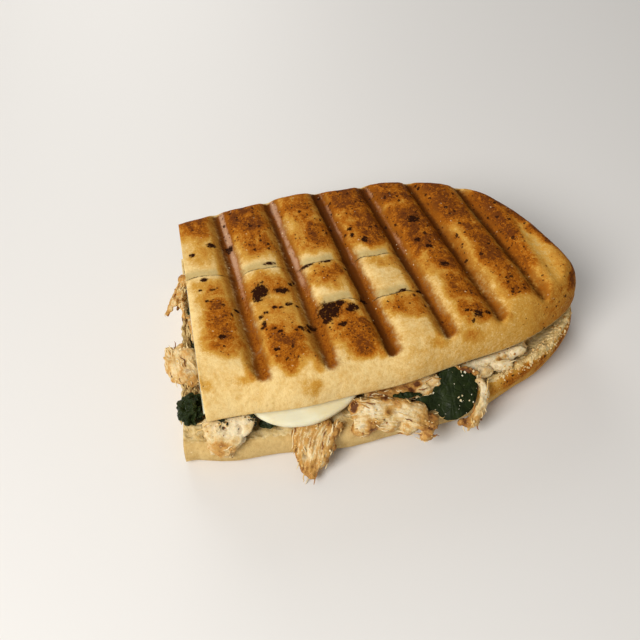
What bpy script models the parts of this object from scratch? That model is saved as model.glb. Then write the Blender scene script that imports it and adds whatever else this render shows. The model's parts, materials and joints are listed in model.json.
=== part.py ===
"""Half of a grilled chicken, spinach and cheese panini, cut across the loaf.

Metres, +Z up. The loaf runs along X: the straight cut is at -X and the rounded
heel at +X. The open long side, where the filling shows, faces -Y. The underside
of the bottom bread rests on z = 0.
"""

import math

import bmesh
import bpy
import numpy as np
from mathutils import Matrix, Vector, noise

MM = 0.001

# Room left between pieces that would touch
GAP = 0.3 * MM

# How high each layer lies at the cut end
CRUMB_LEVEL = 13.0 * MM
CHICKEN_LEVELS = (13.3 * MM, 18.9 * MM)
SPINACH_LEVELS = (19.2 * MM, 20.2 * MM)
CHEESE_LEVELS = (20.5 * MM, 23.0 * MM)
TOP_FLOOR = 23.3 * MM
TOP_LAND = 42.3 * MM
# The top bread and what lies on the chicken slope down towards the heel
SINK = 0.022

# Plan outlines: the cut's place at y = 0 and its lean, the heel's tip, and for each long side its
# reach from the tip's line, two powers that round it towards the heel, and its taper at the cut
TOP_OUTLINE = {
    "cut_x": -77.6 * MM,
    "cut_lean": 0.0,
    "tip": (74.8 * MM, -6.0 * MM),
    "front": (36.6 * MM, 2.7, 2.0, 0.0),
    "back": (62.8 * MM, 7.7, 1.2, 0.18),
    "wobble": 0.5 * MM,
}
BOTTOM_OUTLINE = {
    "cut_x": -82.9 * MM,
    "cut_lean": 0.1,
    "tip": (75.8 * MM, -4.0 * MM),
    "front": (48.4 * MM, 3.6, 2.0, 0.13),
    "back": (55.2 * MM, 7.8, 1.2, 0.18),
    "wobble": 0.6 * MM,
}
TAPER_POWER = 4.5
WOBBLE_LENGTH = 7.0 * MM
WOBBLE_PHASE = 0.9 / MM

# Grill grooves: where they cross y = 0, how their lean fans out, and their section
GROOVE_COUNT = 6
FIRST_GROOVE_X = -59.0 * MM
GROOVE_PITCH = 23.4 * MM
PITCH_LOSS = 0.33 * MM
FIRST_GROOVE_LEAN = -0.066
GROOVE_FAN = -0.028
GROOVE_DEPTH = 3.6 * MM
GROOVE_HALF_WIDTH = 3.0 * MM
HEEL_CREASE = {"x": 61.5 * MM, "lean": -0.13, "depth": 1.5 * MM}
# Marks of the lower plate's ridges on the underside
UNDER_GROOVE_DEPTH = 1.2 * MM
UNDER_GROOVE_REACH = 3.6 * MM
UNDER_GROOVE_ENDS = (4.0 * MM, 10.0 * MM)

# Crust of the top bread: the dome's rise before pressing, the round of its shoulder and of its rim
DOME_RISE = 18.5 * MM
SHOULDER = 15.0 * MM
SHOULDER_POWER = 2.1
TOP_RIM_LIFT = 2.6 * MM
RIM_ROUND = 4.0 * MM
PRESS_BLEND = 1.4 * MM

# Score lines across the lands of the top bread: y, first x, last x. Behind each the crust is lower
SCORES = ((9.3 * MM, -80.0 * MM, 8.0 * MM), (-11.4 * MM, -31.0 * MM, 11.0 * MM))
SCORE_DEPTH = 1.3 * MM
SCORE_HALF_WIDTH = 0.8 * MM
SCORE_STEP = 0.7 * MM
SCORE_STEP_REACH = 6.0 * MM

# Crust of the bottom bread: its widest level, its rim, and the lip that stands up round the heel
# and the back, to just under the top bread. The crumb dips inside the lip
BOTTOM_WIDEST = 5.5 * MM
BOTTOM_RIM = 12.2 * MM
LIP_CLEARANCE = 1.9 * MM
LIP_INSET = 2.8 * MM
LIP_WIDTH = 4.0 * MM
LIP_ALONG_HEEL = (2.0 * MM, 56.0 * MM)
LIP_ALONG_BACK = (16.0 * MM, 34.0 * MM)

# Rows and stations of the bread grids: steps in from the edges, round the grooves and at the tip
EDGE_STEPS = np.array([0.0, 0.35, 1.4, 3.4, 6.5, 10.5]) * MM
GROOVE_STEPS = np.array([-5.2, -3.3, -1.7, 0.0, 1.7, 3.3, 5.2]) * MM
UNDER_GROOVE_STEPS = np.array([-3.6, -1.8, 0.0, 1.8, 3.6]) * MM
TIP_STEPS = np.array([9.0, 6.0, 3.6, 1.8, 0.7, 0.15]) * MM
CUT_STEPS = np.array([0.0, 0.8, 8.0]) * MM
LEAST_STEP = 0.5 * MM
CLOSING = (12.0 * MM, 45.0 * MM)
ROW_MARGIN = 6.0 * MM
FULL_WIDTH = 60.0 * MM
# Stations lose their lean over the last stretch before the tip
UPRIGHT_REACH = 12.0 * MM
TIP_MARGIN = 0.05 * MM

# Points closer than this are one point, and edges that bend less than their angle are dissolved
WELD = 0.002 * MM
BREAD_FLAT_ANGLE = 0.4
CHEESE_FLAT_ANGLE = 0.8
LAYER_FLAT_ANGLE = 1.0
SHARP_ANGLE = math.radians(42.0)

# Bays in the filling's cut edge where a loose piece sticks out: centre and half width
CUT_BAYS = ((-13.0 * MM, 12.5 * MM), (-33.5 * MM, 8.5 * MM), (23.5 * MM, 9.5 * MM))

# Filling layers: first and last x, front edge at the cut, distance from the back crust, bay depth
CHICKEN_PLAN = (-81.4 * MM, 54.0 * MM, -38.0 * MM, 13.0 * MM, 6.5 * MM)
SPINACH_PLAN = (-79.2 * MM, 46.0 * MM, -37.0 * MM, 11.5 * MM, 4.0 * MM)
CHEESE_PLAN = (-78.4 * MM, 48.0 * MM, -38.8 * MM, 10.0 * MM, 6.5 * MM)
# The chicken and the spinach step back along their front edge: by how much, and between which x
FRONT_STEP = 5.5 * MM
FRONT_STEP_ALONG = (-26.0 * MM, -18.0 * MM)
HEEL_MARGIN = 13.5 * MM
HEEL_MARGIN_ALONG = (0.0, 20.0 * MM)
# Raggedness of the cut edge: the height and the length of each wave
RAGGED_WAVES = ((0.9 * MM, 2.9 * MM), (0.6 * MM, 1.3 * MM))
BAY_EDGE = (-2.5 * MM, 1.5 * MM)
CHICKEN_LUMPS = 1.6 * MM
CHICKEN_LUMP_SIZE = 5.0 * MM
CHICKEN_SHOWN = (-79.6 * MM, -78.0 * MM)

# The melted lip of cheese over the front edge: where it starts and ends, its run and its fall
CHEESE_LIP = (-62.0 * MM, -21.5 * MM)
LIP_RUN = 9.0 * MM
LIP_FALL = 4.4 * MM
LIP_MARGIN = 2.0 * MM
# Past the lip the cheese steps back from the front, and again towards the heel
CHEESE_STEPS = ((5.0 * MM, -22.5 * MM, -15.5 * MM), (10.0 * MM, 10.0 * MM, 48.0 * MM))
CHEESE_RIM = 3.0 * MM
CHEESE_BAY_ALONG = (-66.0 * MM, -78.0 * MM)

# Surface of the loose strips: how high the fibre ridges stand, the lumps, and the rounded ends
FIBRE_RIDGE = 0.09
STRIP_LUMP_SIZE = 3.2 * MM
STRIP_LUMPS = 0.35 * MM
STRIP_END = 0.5 * MM

# Loose strips, all in mm. Each path row is x, y, z, width and thickness at that point; face is the
# way its broad side looks; grain is rings along it, points round it, fibre ridges and raggedness
SHREDS = {
    "chicken_front_left": {
        "face": (0.0, -0.75, 0.65),
        "grain": (12, 16, 5, 0.16),
        "path": (
            (-69.6, -41.4, 19.6, 19.0, 4.8),
            (-69.8, -44.8, 18.6, 20.6, 5.4),
            (-71.2, -48.2, 15.0, 18.0, 4.4),
            (-74.2, -50.2, 10.2, 10.5, 3.0),
        ),
    },
    "chicken_hanging": {
        "face": (0.0, -0.4, 0.9),
        "grain": (15, 20, 7, 0.22),
        "path": (
            (-39.5, -43.0, 14.2, 13.0, 1.6),
            (-39.9, -47.8, 14.4, 14.5, 2.1),
            (-41.0, -52.6, 12.4, 16.0, 3.0),
            (-42.6, -56.4, 8.0, 12.0, 3.8),
            (-44.2, -59.6, 3.6, 5.0, 2.6),
        ),
    },
    "chicken_chunk": {
        "face": (0.0, -0.5, 0.85),
        "grain": (17, 16, 4, 0.16),
        "path": (
            (-25.6, -47.8, 16.0, 10.5, 5.0),
            (-20.5, -47.8, 16.8, 14.0, 6.2),
            (-14.5, -47.2, 16.8, 10.0, 6.2),
            (-8.5, -47.8, 16.4, 8.0, 6.0),
            (-2.4, -51.2, 15.0, 8.0, 5.2),
            (3.0, -55.4, 12.0, 5.2, 3.4),
        ),
    },
    "chicken_browned": {
        "face": (0.0, -0.5, 0.85),
        "grain": (13, 14, 5, 0.16),
        "path": (
            (-17.5, -38.0, 18.4, 3.4, 3.0),
            (-11.5, -38.0, 18.5, 6.0, 3.8),
            (-4.0, -38.6, 18.4, 7.2, 4.0),
            (3.0, -38.2, 18.2, 7.2, 3.8),
            (8.4, -36.4, 17.8, 4.5, 3.0),
        ),
    },
    "chicken_curl": {
        "face": (0.4, -0.7, 0.6),
        "grain": (12, 14, 5, 0.16),
        "path": (
            (23.2, -41.0, 18.3, 3.2, 2.8),
            (24.9, -44.9, 17.7, 4.4, 3.2),
            (23.9, -49.1, 14.7, 5.4, 3.2),
            (20.6, -52.2, 10.4, 6.4, 3.2),
            (16.4, -54.2, 7.6, 5.0, 3.0),
        ),
    },
    "chicken_strip": {
        "face": (0.1, -0.2, 0.97),
        "grain": (15, 14, 4, 0.16),
        "path": (
            (13.5, -34.8, 17.4, 3.4, 2.6),
            (24.0, -35.2, 17.6, 6.0, 3.0),
            (35.0, -33.4, 17.6, 6.5, 3.0),
            (46.5, -28.6, 17.6, 3.6, 2.2),
        ),
    },
    "chicken_cut_chunk": {
        "face": (-0.3, 0.0, 1.0),
        "grain": (11, 18, 6, 0.16),
        "path": (
            (-77.8, -14.5, 16.6, 14.0, 4.0),
            (-82.2, -13.2, 18.0, 17.0, 6.0),
            (-85.8, -10.4, 18.5, 12.5, 6.2),
            (-88.4, -8.0, 18.2, 6.5, 4.0),
        ),
    },
    "chicken_cut_strand": {
        "face": (0.0, 0.2, 1.0),
        "grain": (12, 8, 3, 0.16),
        "path": (
            (-76.8, 30.5, 20.8, 3.6, 2.2),
            (-80.3, 24.9, 21.7, 3.6, 2.4),
            (-83.9, 18.4, 21.3, 2.8, 2.0),
            (-87.2, 13.0, 20.3, 1.6, 1.3),
        ),
    },
    "chicken_cut_shred": {
        "face": (0.0, 0.2, 1.0),
        "grain": (9, 8, 3, 0.16),
        "path": (
            (-73.4, 28.4, 16.4, 3.0, 2.2),
            (-79.4, 22.6, 17.5, 2.8, 2.0),
            (-83.4, 16.6, 16.6, 1.6, 1.4),
        ),
    },
    "spinach_sliver": {
        "face": (0.0, -0.2, 1.0),
        "grain": (9, 8, 2, 0.16),
        "path": (
            (-9.5, -44.2, 20.5, 1.4, 0.9),
            (-4.5, -44.1, 20.2, 2.2, 1.0),
            (0.6, -44.3, 18.8, 1.6, 0.9),
        ),
    },
}
CLUMPS = {
    "spinach_cut_clump": {
        "centre": (-82.9, -32.8, 17.5),
        "radii": (4.9, 6.2, 4.1),
        "seed": 4.0,
        "levels": 3,
    },
    "spinach_under_cheese": {
        "centre": (-55.0, -42.6, 14.7),
        "radii": (4.6, 2.3, 1.6),
        "seed": 9.0,
        "levels": 2,
    },
}

# The leaf at the front: its edge in plan in mm, the middle of its back edge, and its fall and cup
LEAF_EDGE = (
    (10.6, -37.4),
    (16.5, -37.2),
    (21.4, -39.6),
    (20.8, -44.6),
    (18.4, -49.2),
    (13.6, -52.4),
    (8.6, -51.6),
    (6.4, -48.2),
    (2.6, -46.6),
    (4.8, -44.4),
    (8.2, -43.0),
)
LEAF_BACK = (14.0, -37.2, 21.2)
LEAF_SLOPE = 0.6
LEAF_CUP = 0.0175
LEAF_THICKNESS = 0.8 * MM

COLOURS = {
    "crust": ((0.62, 0.34, 0.12), 0.55),
    "crust_pale": ((0.76, 0.55, 0.27), 0.6),
    "chicken": ((0.74, 0.54, 0.33), 0.5),
    "cheese": ((0.88, 0.86, 0.68), 0.35),
    "spinach": ((0.03, 0.07, 0.03), 0.35),
}


def smooth_step(low, high, value):
    t = np.clip((value - low) / (high - low), 0.0, 1.0)
    return t * t * (3.0 - 2.0 * t)


def soft_min(a, b, blend):
    """The lower of two heights, with the corner between them rounded."""
    h = np.clip(0.5 + 0.5 * (b - a) / blend, 0.0, 1.0)
    return b * (1.0 - h) + a * h - blend * h * (1.0 - h)


def quarter_round(t, power):
    """Rises steeply from 0 at t = 0 and levels off at 1 where t = 1."""
    s = 1.0 - np.clip(t, 0.0, 1.0)
    return (1.0 - s**power) ** (1.0 / power)


def relief(points, scale, seed):
    """Smooth noise from -1 to 1 at each point; scale is the size of its lumps."""
    shift = Vector((seed * 7.3, seed * 3.1, seed * 5.7))
    return np.array([noise.noise(Vector(p) / scale + shift) for p in points])


def side(outline, which, x):
    """How far the long side stands from the tip's line at x."""
    reach, power, root, taper = outline[which]
    cut_x, tip_x = outline["cut_x"], outline["tip"][0]
    t = np.clip((x - cut_x) / (tip_x - cut_x), 0.0, 1.0)
    shape = (1.0 - t**power) ** (1.0 / root)
    narrowing = 1.0 - taper * (1.0 - t) ** TAPER_POWER
    wobble = outline["wobble"] * np.sin(x / WOBBLE_LENGTH + WOBBLE_PHASE * reach) * (1.0 - t**4)
    return reach * narrowing * shape + wobble * np.sqrt(shape)


def front_y(outline, x):
    return outline["tip"][1] - side(outline, "front", x)


def back_y(outline, x):
    return outline["tip"][1] + side(outline, "back", x)


def inset(outline, x, y):
    """Distance of each point from the crust's outline, leaving out the cut."""
    cut_x, tip_x = outline["cut_x"], outline["tip"][0]
    t = np.sin(np.linspace(0.0, math.pi / 2.0, 160))
    xs = cut_x - 20.0 * MM + (tip_x - cut_x + 20.0 * MM) * t
    ring = np.concatenate(
        [
            np.stack([xs, front_y(outline, xs)], 1),
            np.stack([xs, back_y(outline, xs)], 1)[::-1],
        ]
    )
    start, run = ring[:-1], np.diff(ring, axis=0)
    length2 = np.maximum((run**2).sum(1), 1e-12)
    points = np.stack([np.ravel(x), np.ravel(y)], 1)
    nearest = np.empty(len(points))
    for first in range(0, len(points), 2000):
        gap = points[first : first + 2000, None, :] - start[None]
        along = np.clip((gap * run).sum(2) / length2, 0.0, 1.0)
        nearest[first : first + 2000] = np.sqrt(
            ((gap - along[..., None] * run) ** 2).sum(2)
        ).min(1)
    return nearest.reshape(np.shape(x))


def groove_lines():
    """(x at y = 0, lean, depth) of each grill groove, the heel's crease last."""
    lines = []
    for i in range(GROOVE_COUNT):
        x = FIRST_GROOVE_X + GROOVE_PITCH * i - PITCH_LOSS * i * i
        lines.append((x, FIRST_GROOVE_LEAN + GROOVE_FAN * i, GROOVE_DEPTH))
    crease = HEEL_CREASE
    return lines + [(crease["x"], crease["lean"], crease["depth"])]


def score_depth(x, y):
    """How far the score lines cut into the lands, with the low step behind each."""
    depth = np.zeros(np.shape(x))
    for line_y, first_x, last_x in SCORES:
        here = smooth_step(first_x, first_x + 3.0 * MM, x)
        here = here * (1.0 - smooth_step(last_x - 3.0 * MM, last_x, x))
        gap = y - line_y
        slit = SCORE_DEPTH * np.clip(1.0 - np.abs(gap) / SCORE_HALF_WIDTH, 0.0, 1.0)
        step = SCORE_STEP * (1.0 - smooth_step(0.0, SCORE_STEP_REACH, gap)) * (gap > 0)
        depth = depth + here * (slit + step)
    return depth


def sink(x):
    return SINK * (x - TOP_OUTLINE["cut_x"])


def top_bread_upper(x, y):
    """The domed crust, flattened by the grill's lands and dented by its ridges."""
    depth_in = inset(TOP_OUTLINE, x, y)
    edge = TOP_FLOOR + TOP_RIM_LIFT
    dome = edge + DOME_RISE * quarter_round(depth_in / SHOULDER, SHOULDER_POWER)
    press = np.full(np.shape(x), TOP_LAND) - score_depth(x, y)
    for groove_x, lean, depth in groove_lines():
        gap = np.abs(x - groove_x - lean * y) / GROOVE_HALF_WIDTH
        press = press - depth / (1.0 + gap**3)
    crust = soft_min(dome, press, PRESS_BLEND)
    return np.where(depth_in < 1e-7, edge, np.maximum(crust, edge)) - sink(x)


def top_bread_lower(x, y):
    depth_in = inset(TOP_OUTLINE, x, y)
    curl = TOP_RIM_LIFT * (1.0 - quarter_round(depth_in / RIM_ROUND, 2.0))
    return TOP_FLOOR + curl - sink(x)


def bottom_bread_upper(x, y):
    """The split loaf's crumb face, with a lip of crust that stands up round the heel and back."""
    depth_in = inset(BOTTOM_OUTLINE, x, y)
    lip = np.maximum(smooth_step(*LIP_ALONG_HEEL, x), smooth_step(*LIP_ALONG_BACK, y))
    rim = BOTTOM_RIM + lip * (TOP_FLOOR - LIP_CLEARANCE - sink(x) - BOTTOM_RIM)
    wall = BOTTOM_WIDEST + (rim - BOTTOM_WIDEST) * quarter_round(depth_in / LIP_INSET, 2.0)
    past = np.clip(depth_in - LIP_INSET, 0.0, None)
    inner = CRUMB_LEVEL + (rim - CRUMB_LEVEL) * np.exp(-((past / LIP_WIDTH) ** 2))
    inner = np.where(past > 2.4 * LIP_WIDTH, CRUMB_LEVEL, inner)
    return np.where(depth_in < LIP_INSET, wall, inner)


def bottom_bread_lower(x, y):
    """Flat, with the lower plate's ridge marks and a rounded bottom edge."""
    depth_in = inset(BOTTOM_OUTLINE, x, y)
    marks = np.zeros(np.shape(x))
    for groove_x, lean, _ in groove_lines()[:GROOVE_COUNT]:
        gap = np.clip(np.abs(x - groove_x - lean * y) / UNDER_GROOVE_REACH, 0.0, 1.0)
        marks = marks + UNDER_GROOVE_DEPTH * np.cos(gap * math.pi / 2.0) ** 2
    marks = marks * smooth_step(*UNDER_GROOVE_ENDS, depth_in)
    edge = BOTTOM_WIDEST * (1.0 - quarter_round(depth_in / RIM_ROUND, 2.0))
    return np.where(marks < 0.02 * MM, 0.0, marks) + edge


def rows_across(outline, x, y_marks):
    """The y of each row at x: a few close to both edges, and marked rows between.

    Rows keep to their marks up to the middle of the loaf and close up towards the heel.
    """
    low, high = front_y(outline, x), back_y(outline, x)
    squeeze = min(1.0, (high - low) / FULL_WIDTH)
    steps = EDGE_STEPS * squeeze
    first, last = low + steps[-1], high - steps[-1]
    marks = np.array(y_marks)
    share = (marks - marks[0] + ROW_MARGIN) / (marks[-1] - marks[0] + 2.0 * ROW_MARGIN)
    closing = smooth_step(*CLOSING, x)
    inner = marks * (1.0 - closing) + (first + share * (last - first)) * closing
    return np.concatenate([low + steps, inner, high - steps[::-1]])


def bread_grid(outline, stations, y_marks):
    """Plan points of a bread half. Stations lean with the grooves and straighten at both ends."""
    tip_x, tip_y = outline["tip"]
    lines = groove_lines()
    at = [outline["cut_x"]] + [g[0] for g in lines] + [tip_x]
    leans = [outline["cut_lean"]] + [g[1] for g in lines[:-1]] + [lines[-1][1] * 0.6, 0.0]
    plan = []
    for station in stations:
        lean = np.interp(station, at, leans)
        y = rows_across(outline, station, y_marks)
        for _ in range(6):
            x = station + lean * y * smooth_step(tip_x, tip_x - UPRIGHT_REACH, station)
            x = np.minimum(x, tip_x - TIP_MARGIN)
            y = np.array([rows_across(outline, xi, y_marks)[j] for j, xi in enumerate(x)])
        plan.append(np.stack([x, y], 1))
    plan.append(np.tile([tip_x, tip_y], (len(plan[0]), 1)))
    return np.array(plan)


def solid_between(name, plan, lower, upper, material, flat_angle):
    """A closed solid between two height grids over the same plan grid."""
    rows, columns = plan.shape[:2]
    mesh = bpy.data.meshes.new(name)
    bm = bmesh.new()

    def sheet(heights):
        return [
            [bm.verts.new((*plan[i, j], heights[i, j])) for j in range(columns)]
            for i in range(rows)
        ]

    under, over = sheet(lower), sheet(upper)
    for i in range(rows - 1):
        for j in range(columns - 1):
            ring = ((i, j), (i + 1, j), (i + 1, j + 1), (i, j + 1))
            bm.faces.new([over[a][b] for a, b in ring])
            bm.faces.new([under[a][b] for a, b in reversed(ring)])
    border = [(i, 0) for i in range(rows)]
    border += [(rows - 1, j) for j in range(1, columns)]
    border += [(i, columns - 1) for i in range(rows - 2, -1, -1)]
    border += [(0, j) for j in range(columns - 2, 0, -1)]
    for (a, b), (c, d) in zip(border, border[1:] + border[:1]):
        bm.faces.new([under[a][b], under[c][d], over[c][d], over[a][b]])
    bmesh.ops.remove_doubles(bm, verts=bm.verts, dist=WELD)
    bmesh.ops.dissolve_degenerate(bm, edges=bm.edges, dist=WELD / 2.0)
    bmesh.ops.dissolve_limit(
        bm, angle_limit=math.radians(flat_angle), verts=bm.verts, edges=bm.edges
    )
    bmesh.ops.triangulate(bm, faces=bm.faces)
    bm.to_mesh(mesh)
    bm.free()
    return place(name, mesh, material)


def place(name, mesh, material):
    mesh.materials.append(material)
    mesh.shade_smooth()
    mesh.set_sharp_from_angle(angle=SHARP_ANGLE)
    obj = bpy.data.objects.new(name, mesh)
    PANINI.objects.link(obj)
    return obj


def bread_stations(outline, offsets):
    """Station positions: close together at every groove, at the cut and round the heel."""
    cut_x, tip_x = outline["cut_x"], outline["tip"][0]
    xs = [*(cut_x + CUT_STEPS)]
    for groove_x, _, _ in groove_lines():
        xs += [groove_x + offset for offset in offsets]
    xs = sorted(x for x in [*xs, *(tip_x - TIP_STEPS)] if cut_x <= x < tip_x)
    kept = [xs[0]]
    for x in xs[1:]:
        if x - kept[-1] > LEAST_STEP:
            kept.append(x)
    return kept


def build_bread(name, outline, groove_steps, y_marks, lower, upper, material):
    """One half of the bread. The two faces meet along the crust and stand apart at the cut."""
    plan = bread_grid(outline, bread_stations(outline, groove_steps), y_marks)
    x, y = plan[..., 0], plan[..., 1]
    low, high = lower(x, y), upper(x, y)
    for edge in (np.s_[:, 0], np.s_[:, -1], np.s_[-1, :]):
        high[edge] = low[edge]
    solid_between(name, plan, low, high, material, BREAD_FLAT_ANGLE)


def build_breads(crust, pale_crust):
    marks = [-27.0 * MM, -20.0 * MM, -4.0 * MM, 3.0 * MM, 16.0 * MM, 24.0 * MM, 30.0 * MM]
    for score_y, _, _ in SCORES:
        marks += [score_y - SCORE_HALF_WIDTH, score_y, score_y + SCORE_HALF_WIDTH]
    lower, upper = top_bread_lower, top_bread_upper
    build_bread("bread_top", TOP_OUTLINE, GROOVE_STEPS, sorted(marks), lower, upper, crust)
    marks = np.array([-29.0, -21.0, -9.0, 3.0, 15.0, 25.0, 31.0]) * MM
    lower, upper = bottom_bread_lower, bottom_bread_upper
    steps = UNDER_GROOVE_STEPS
    build_bread("bread_bottom", BOTTOM_OUTLINE, steps, marks, lower, upper, pale_crust)


def notch(y, centre, half):
    """1 inside a bay of a layer's edge and 0 outside it."""
    return 1.0 - smooth_step(half + BAY_EDGE[0], half + BAY_EDGE[1], np.abs(y - centre))


def layer_front(left_y, x):
    """Front edge of a filling layer: it steps back behind the loose pieces and the heel's lip."""
    step = FRONT_STEP * smooth_step(*FRONT_STEP_ALONG, x)
    margin = HEEL_MARGIN * smooth_step(*HEEL_MARGIN_ALONG, x)
    return max(left_y + step, front_y(BOTTOM_OUTLINE, x) + margin)


def layer_grid(layer, count_x, count_y):
    """Plan points of a filling layer with uneven edges and bays in its cut edge."""
    first_x, last_x, front, back_margin, bay_depth = layer
    plan = np.empty((count_x, count_y, 2))
    for i, u in enumerate(np.linspace(0.0, 1.0, count_x)):
        x = first_x + (last_x - first_x) * u
        y = np.linspace(layer_front(front, x), back_y(BOTTOM_OUTLINE, x) - back_margin, count_y)
        bays = bay_depth * sum(notch(y, *bay) for bay in CUT_BAYS)
        ragged = sum(wave_height * np.sin(y / length) for wave_height, length in RAGGED_WAVES)
        slant = BOTTOM_OUTLINE["cut_lean"] * y
        plan[i] = np.stack([x + (slant + bays + ragged) * (1.0 - u) ** 6, y], 1)
    return plan


def edge_round(rows, columns, reach):
    """0 on the border of a grid of points, rising to 1 within so many points of it."""
    u = np.minimum(np.arange(rows), np.arange(rows)[::-1])[:, None]
    v = np.minimum(np.arange(columns), np.arange(columns)[::-1])[None]
    return quarter_round(np.minimum(u, v) / reach, 2.0)


def build_chicken_layer(material):
    """Loose meat on the crumb, lumpy where it shows at the cut."""
    plan = layer_grid(CHICKEN_PLAN, 24, 30)
    x, y = plan[..., 0], plan[..., 1]
    low, high = CHICKEN_LEVELS[0], CHICKEN_LEVELS[1] - sink(x)
    middle, round_in = (low + high) / 2.0, edge_round(*x.shape, 1.5)
    points = np.stack([x.ravel(), y.ravel(), np.zeros(x.size)], 1)
    bumps = np.maximum(relief(points, CHICKEN_LUMP_SIZE, 3), -0.2).reshape(x.shape)
    shown = 1.0 - smooth_step(*CHICKEN_SHOWN, x)
    upper = middle + (high - middle) * round_in + CHICKEN_LUMPS * bumps * shown * round_in
    lower = np.maximum(middle + (low - middle) * round_in, bottom_bread_upper(x, y) + GAP)
    upper = np.maximum(upper, lower)
    solid_between("chicken_layer", plan, lower, upper, material, LAYER_FLAT_ANGLE)


def build_spinach_layer(material):
    plan = layer_grid(SPINACH_PLAN, 18, 26)
    low, high = SPINACH_LEVELS
    half = (high - low) / 2.0 * edge_round(*plan.shape[:2], 1.5)
    middle = (low + high) / 2.0 - sink(plan[..., 0])
    lower, upper = middle - half, middle + half
    solid_between("spinach_layer", plan, lower, upper, material, LAYER_FLAT_ANGLE)


def cheese_row(x):
    """Plan and middle height of the cheese at x, from its front edge to its back edge."""
    _, _, front, back_margin, bay_depth = CHEESE_PLAN
    lip_from, lip_to = CHEESE_LIP
    reach = np.clip((x - lip_from) / (lip_to - lip_from), 0.0, 1.0)
    run = LIP_RUN * max(math.sin(math.pi * reach**0.7), 0.0) ** 0.7
    edge = front + sum(depth * smooth_step(start, end, x) for depth, start, end in CHEESE_STEPS)
    inner = edge + CHEESE_RIM
    back = back_y(BOTTOM_OUTLINE, x) - back_margin
    y = np.concatenate([np.linspace(edge - run, inner, 10), np.linspace(inner, back, 13)[1:]])
    bay = bay_depth * notch(y, *CUT_BAYS[-1]) * smooth_step(*CHEESE_BAY_ALONG, x)
    fall = LIP_FALL * np.clip((edge + 0.5 * MM - y) / LIP_RUN, 0.0, 1.0) ** 1.15
    return np.stack([x + bay, y], 1), sum(CHEESE_LEVELS) / 2.0 - sink(x + bay) - fall


def build_cheese(material):
    """A slice that runs right through and has melted over the front edge in one long lip."""
    (first_x, last_x), (lip_from, lip_to) = CHEESE_PLAN[:2], CHEESE_LIP
    xs = [*np.linspace(first_x, lip_from - LIP_MARGIN, 5), *np.linspace(lip_from, lip_to, 13)]
    xs += [*np.linspace(lip_to + LIP_MARGIN, last_x, 9)]
    rows = [cheese_row(x) for x in xs]
    plan, middle = np.array([row[0] for row in rows]), np.array([row[1] for row in rows])
    low, high = CHEESE_LEVELS
    half = (high - low) / 2.0 * edge_round(*middle.shape, 1.4)
    solid_between("cheese", plan, middle - half, middle + half, material, CHEESE_FLAT_ANGLE)


def smooth_path(controls, count):
    """Catmull-Rom samples through control rows of any width."""
    rows = np.array(controls, float)
    rows = np.concatenate([[2 * rows[0] - rows[1]], rows, [2 * rows[-1] - rows[-2]]])
    out = []
    for s in np.linspace(0.0, len(rows) - 3 - 1e-9, count):
        k = int(s)
        t = s - k
        a, b, c, d = rows[k : k + 4]
        out.append(
            0.5
            * (2 * b + (c - a) * t + (2 * a - 5 * b + 4 * c - d) * t**2 + (3 * b - a - 3 * c + d) * t**3)
        )
    return np.array(out)


def meat_shred(name, shred, material, seed):
    """A torn strip of meat. Its fibres run along it and fray at the far end."""
    rings, around, fibres, rag = shred["grain"]
    path = smooth_path(shred["path"], rings) * MM
    centre, width, thick = path[:, :3], path[:, 3], path[:, 4]
    step = np.gradient(centre, axis=0)
    step /= np.linalg.norm(step, axis=1)[:, None]
    across = np.cross(step, np.array(shred["face"], float))
    across /= np.linalg.norm(across, axis=1)[:, None]
    normal = np.cross(across, step)
    angles = np.arange(around) * 2.0 * math.pi / around
    length = np.linalg.norm(np.diff(centre, axis=0), axis=1).sum()
    points = np.empty((rings, around, 3))
    for i in range(rings):
        s = i / (rings - 1)
        for k, angle in enumerate(angles):
            c, n = math.cos(angle), math.sin(angle)
            square = (abs(c) ** 3 + abs(n) ** 3) ** (-1.0 / 3.0)
            ridge = 1.0 + FIBRE_RIDGE * math.cos(fibres * angle + seed + 1.5 * s)
            offset = across[i] * c * width[i] / 2.0 + normal[i] * n * thick[i] / 2.0
            fray = rag * length * s**5 * noise.noise(Vector((k * 0.9, seed, 0.0)))
            points[i, k] = centre[i] + offset * square * ridge * 0.93 + step[i] * fray
    flat = points.reshape(-1, 3)
    lump = relief(flat, STRIP_LUMP_SIZE, seed) * STRIP_LUMPS
    spine = np.repeat(centre, around, axis=0)
    out = flat - spine
    out /= np.maximum(np.linalg.norm(out, axis=1), 1e-9)[:, None]
    points = (flat + out * lump[:, None]).reshape(rings, around, 3)
    bm = bmesh.new()
    hoops = [[bm.verts.new(p) for p in ring] for ring in points]
    for near, far in zip(hoops, hoops[1:]):
        for k in range(around):
            after = (k + 1) % around
            bm.faces.new([near[k], near[after], far[after], far[k]])
    for hoop, outwards in ((hoops[0], -step[0]), (hoops[-1], step[-1])):
        middle = sum((v.co for v in hoop), Vector()) / around
        pole = bm.verts.new(middle + Vector(outwards) * STRIP_END)
        for k in range(around):
            bm.faces.new([hoop[k], hoop[(k + 1) % around], pole])
    bmesh.ops.recalc_face_normals(bm, faces=bm.faces)
    bmesh.ops.triangulate(bm, faces=bm.faces)
    mesh = bpy.data.meshes.new(name)
    bm.to_mesh(mesh)
    bm.free()
    return place(name, mesh, material)


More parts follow.
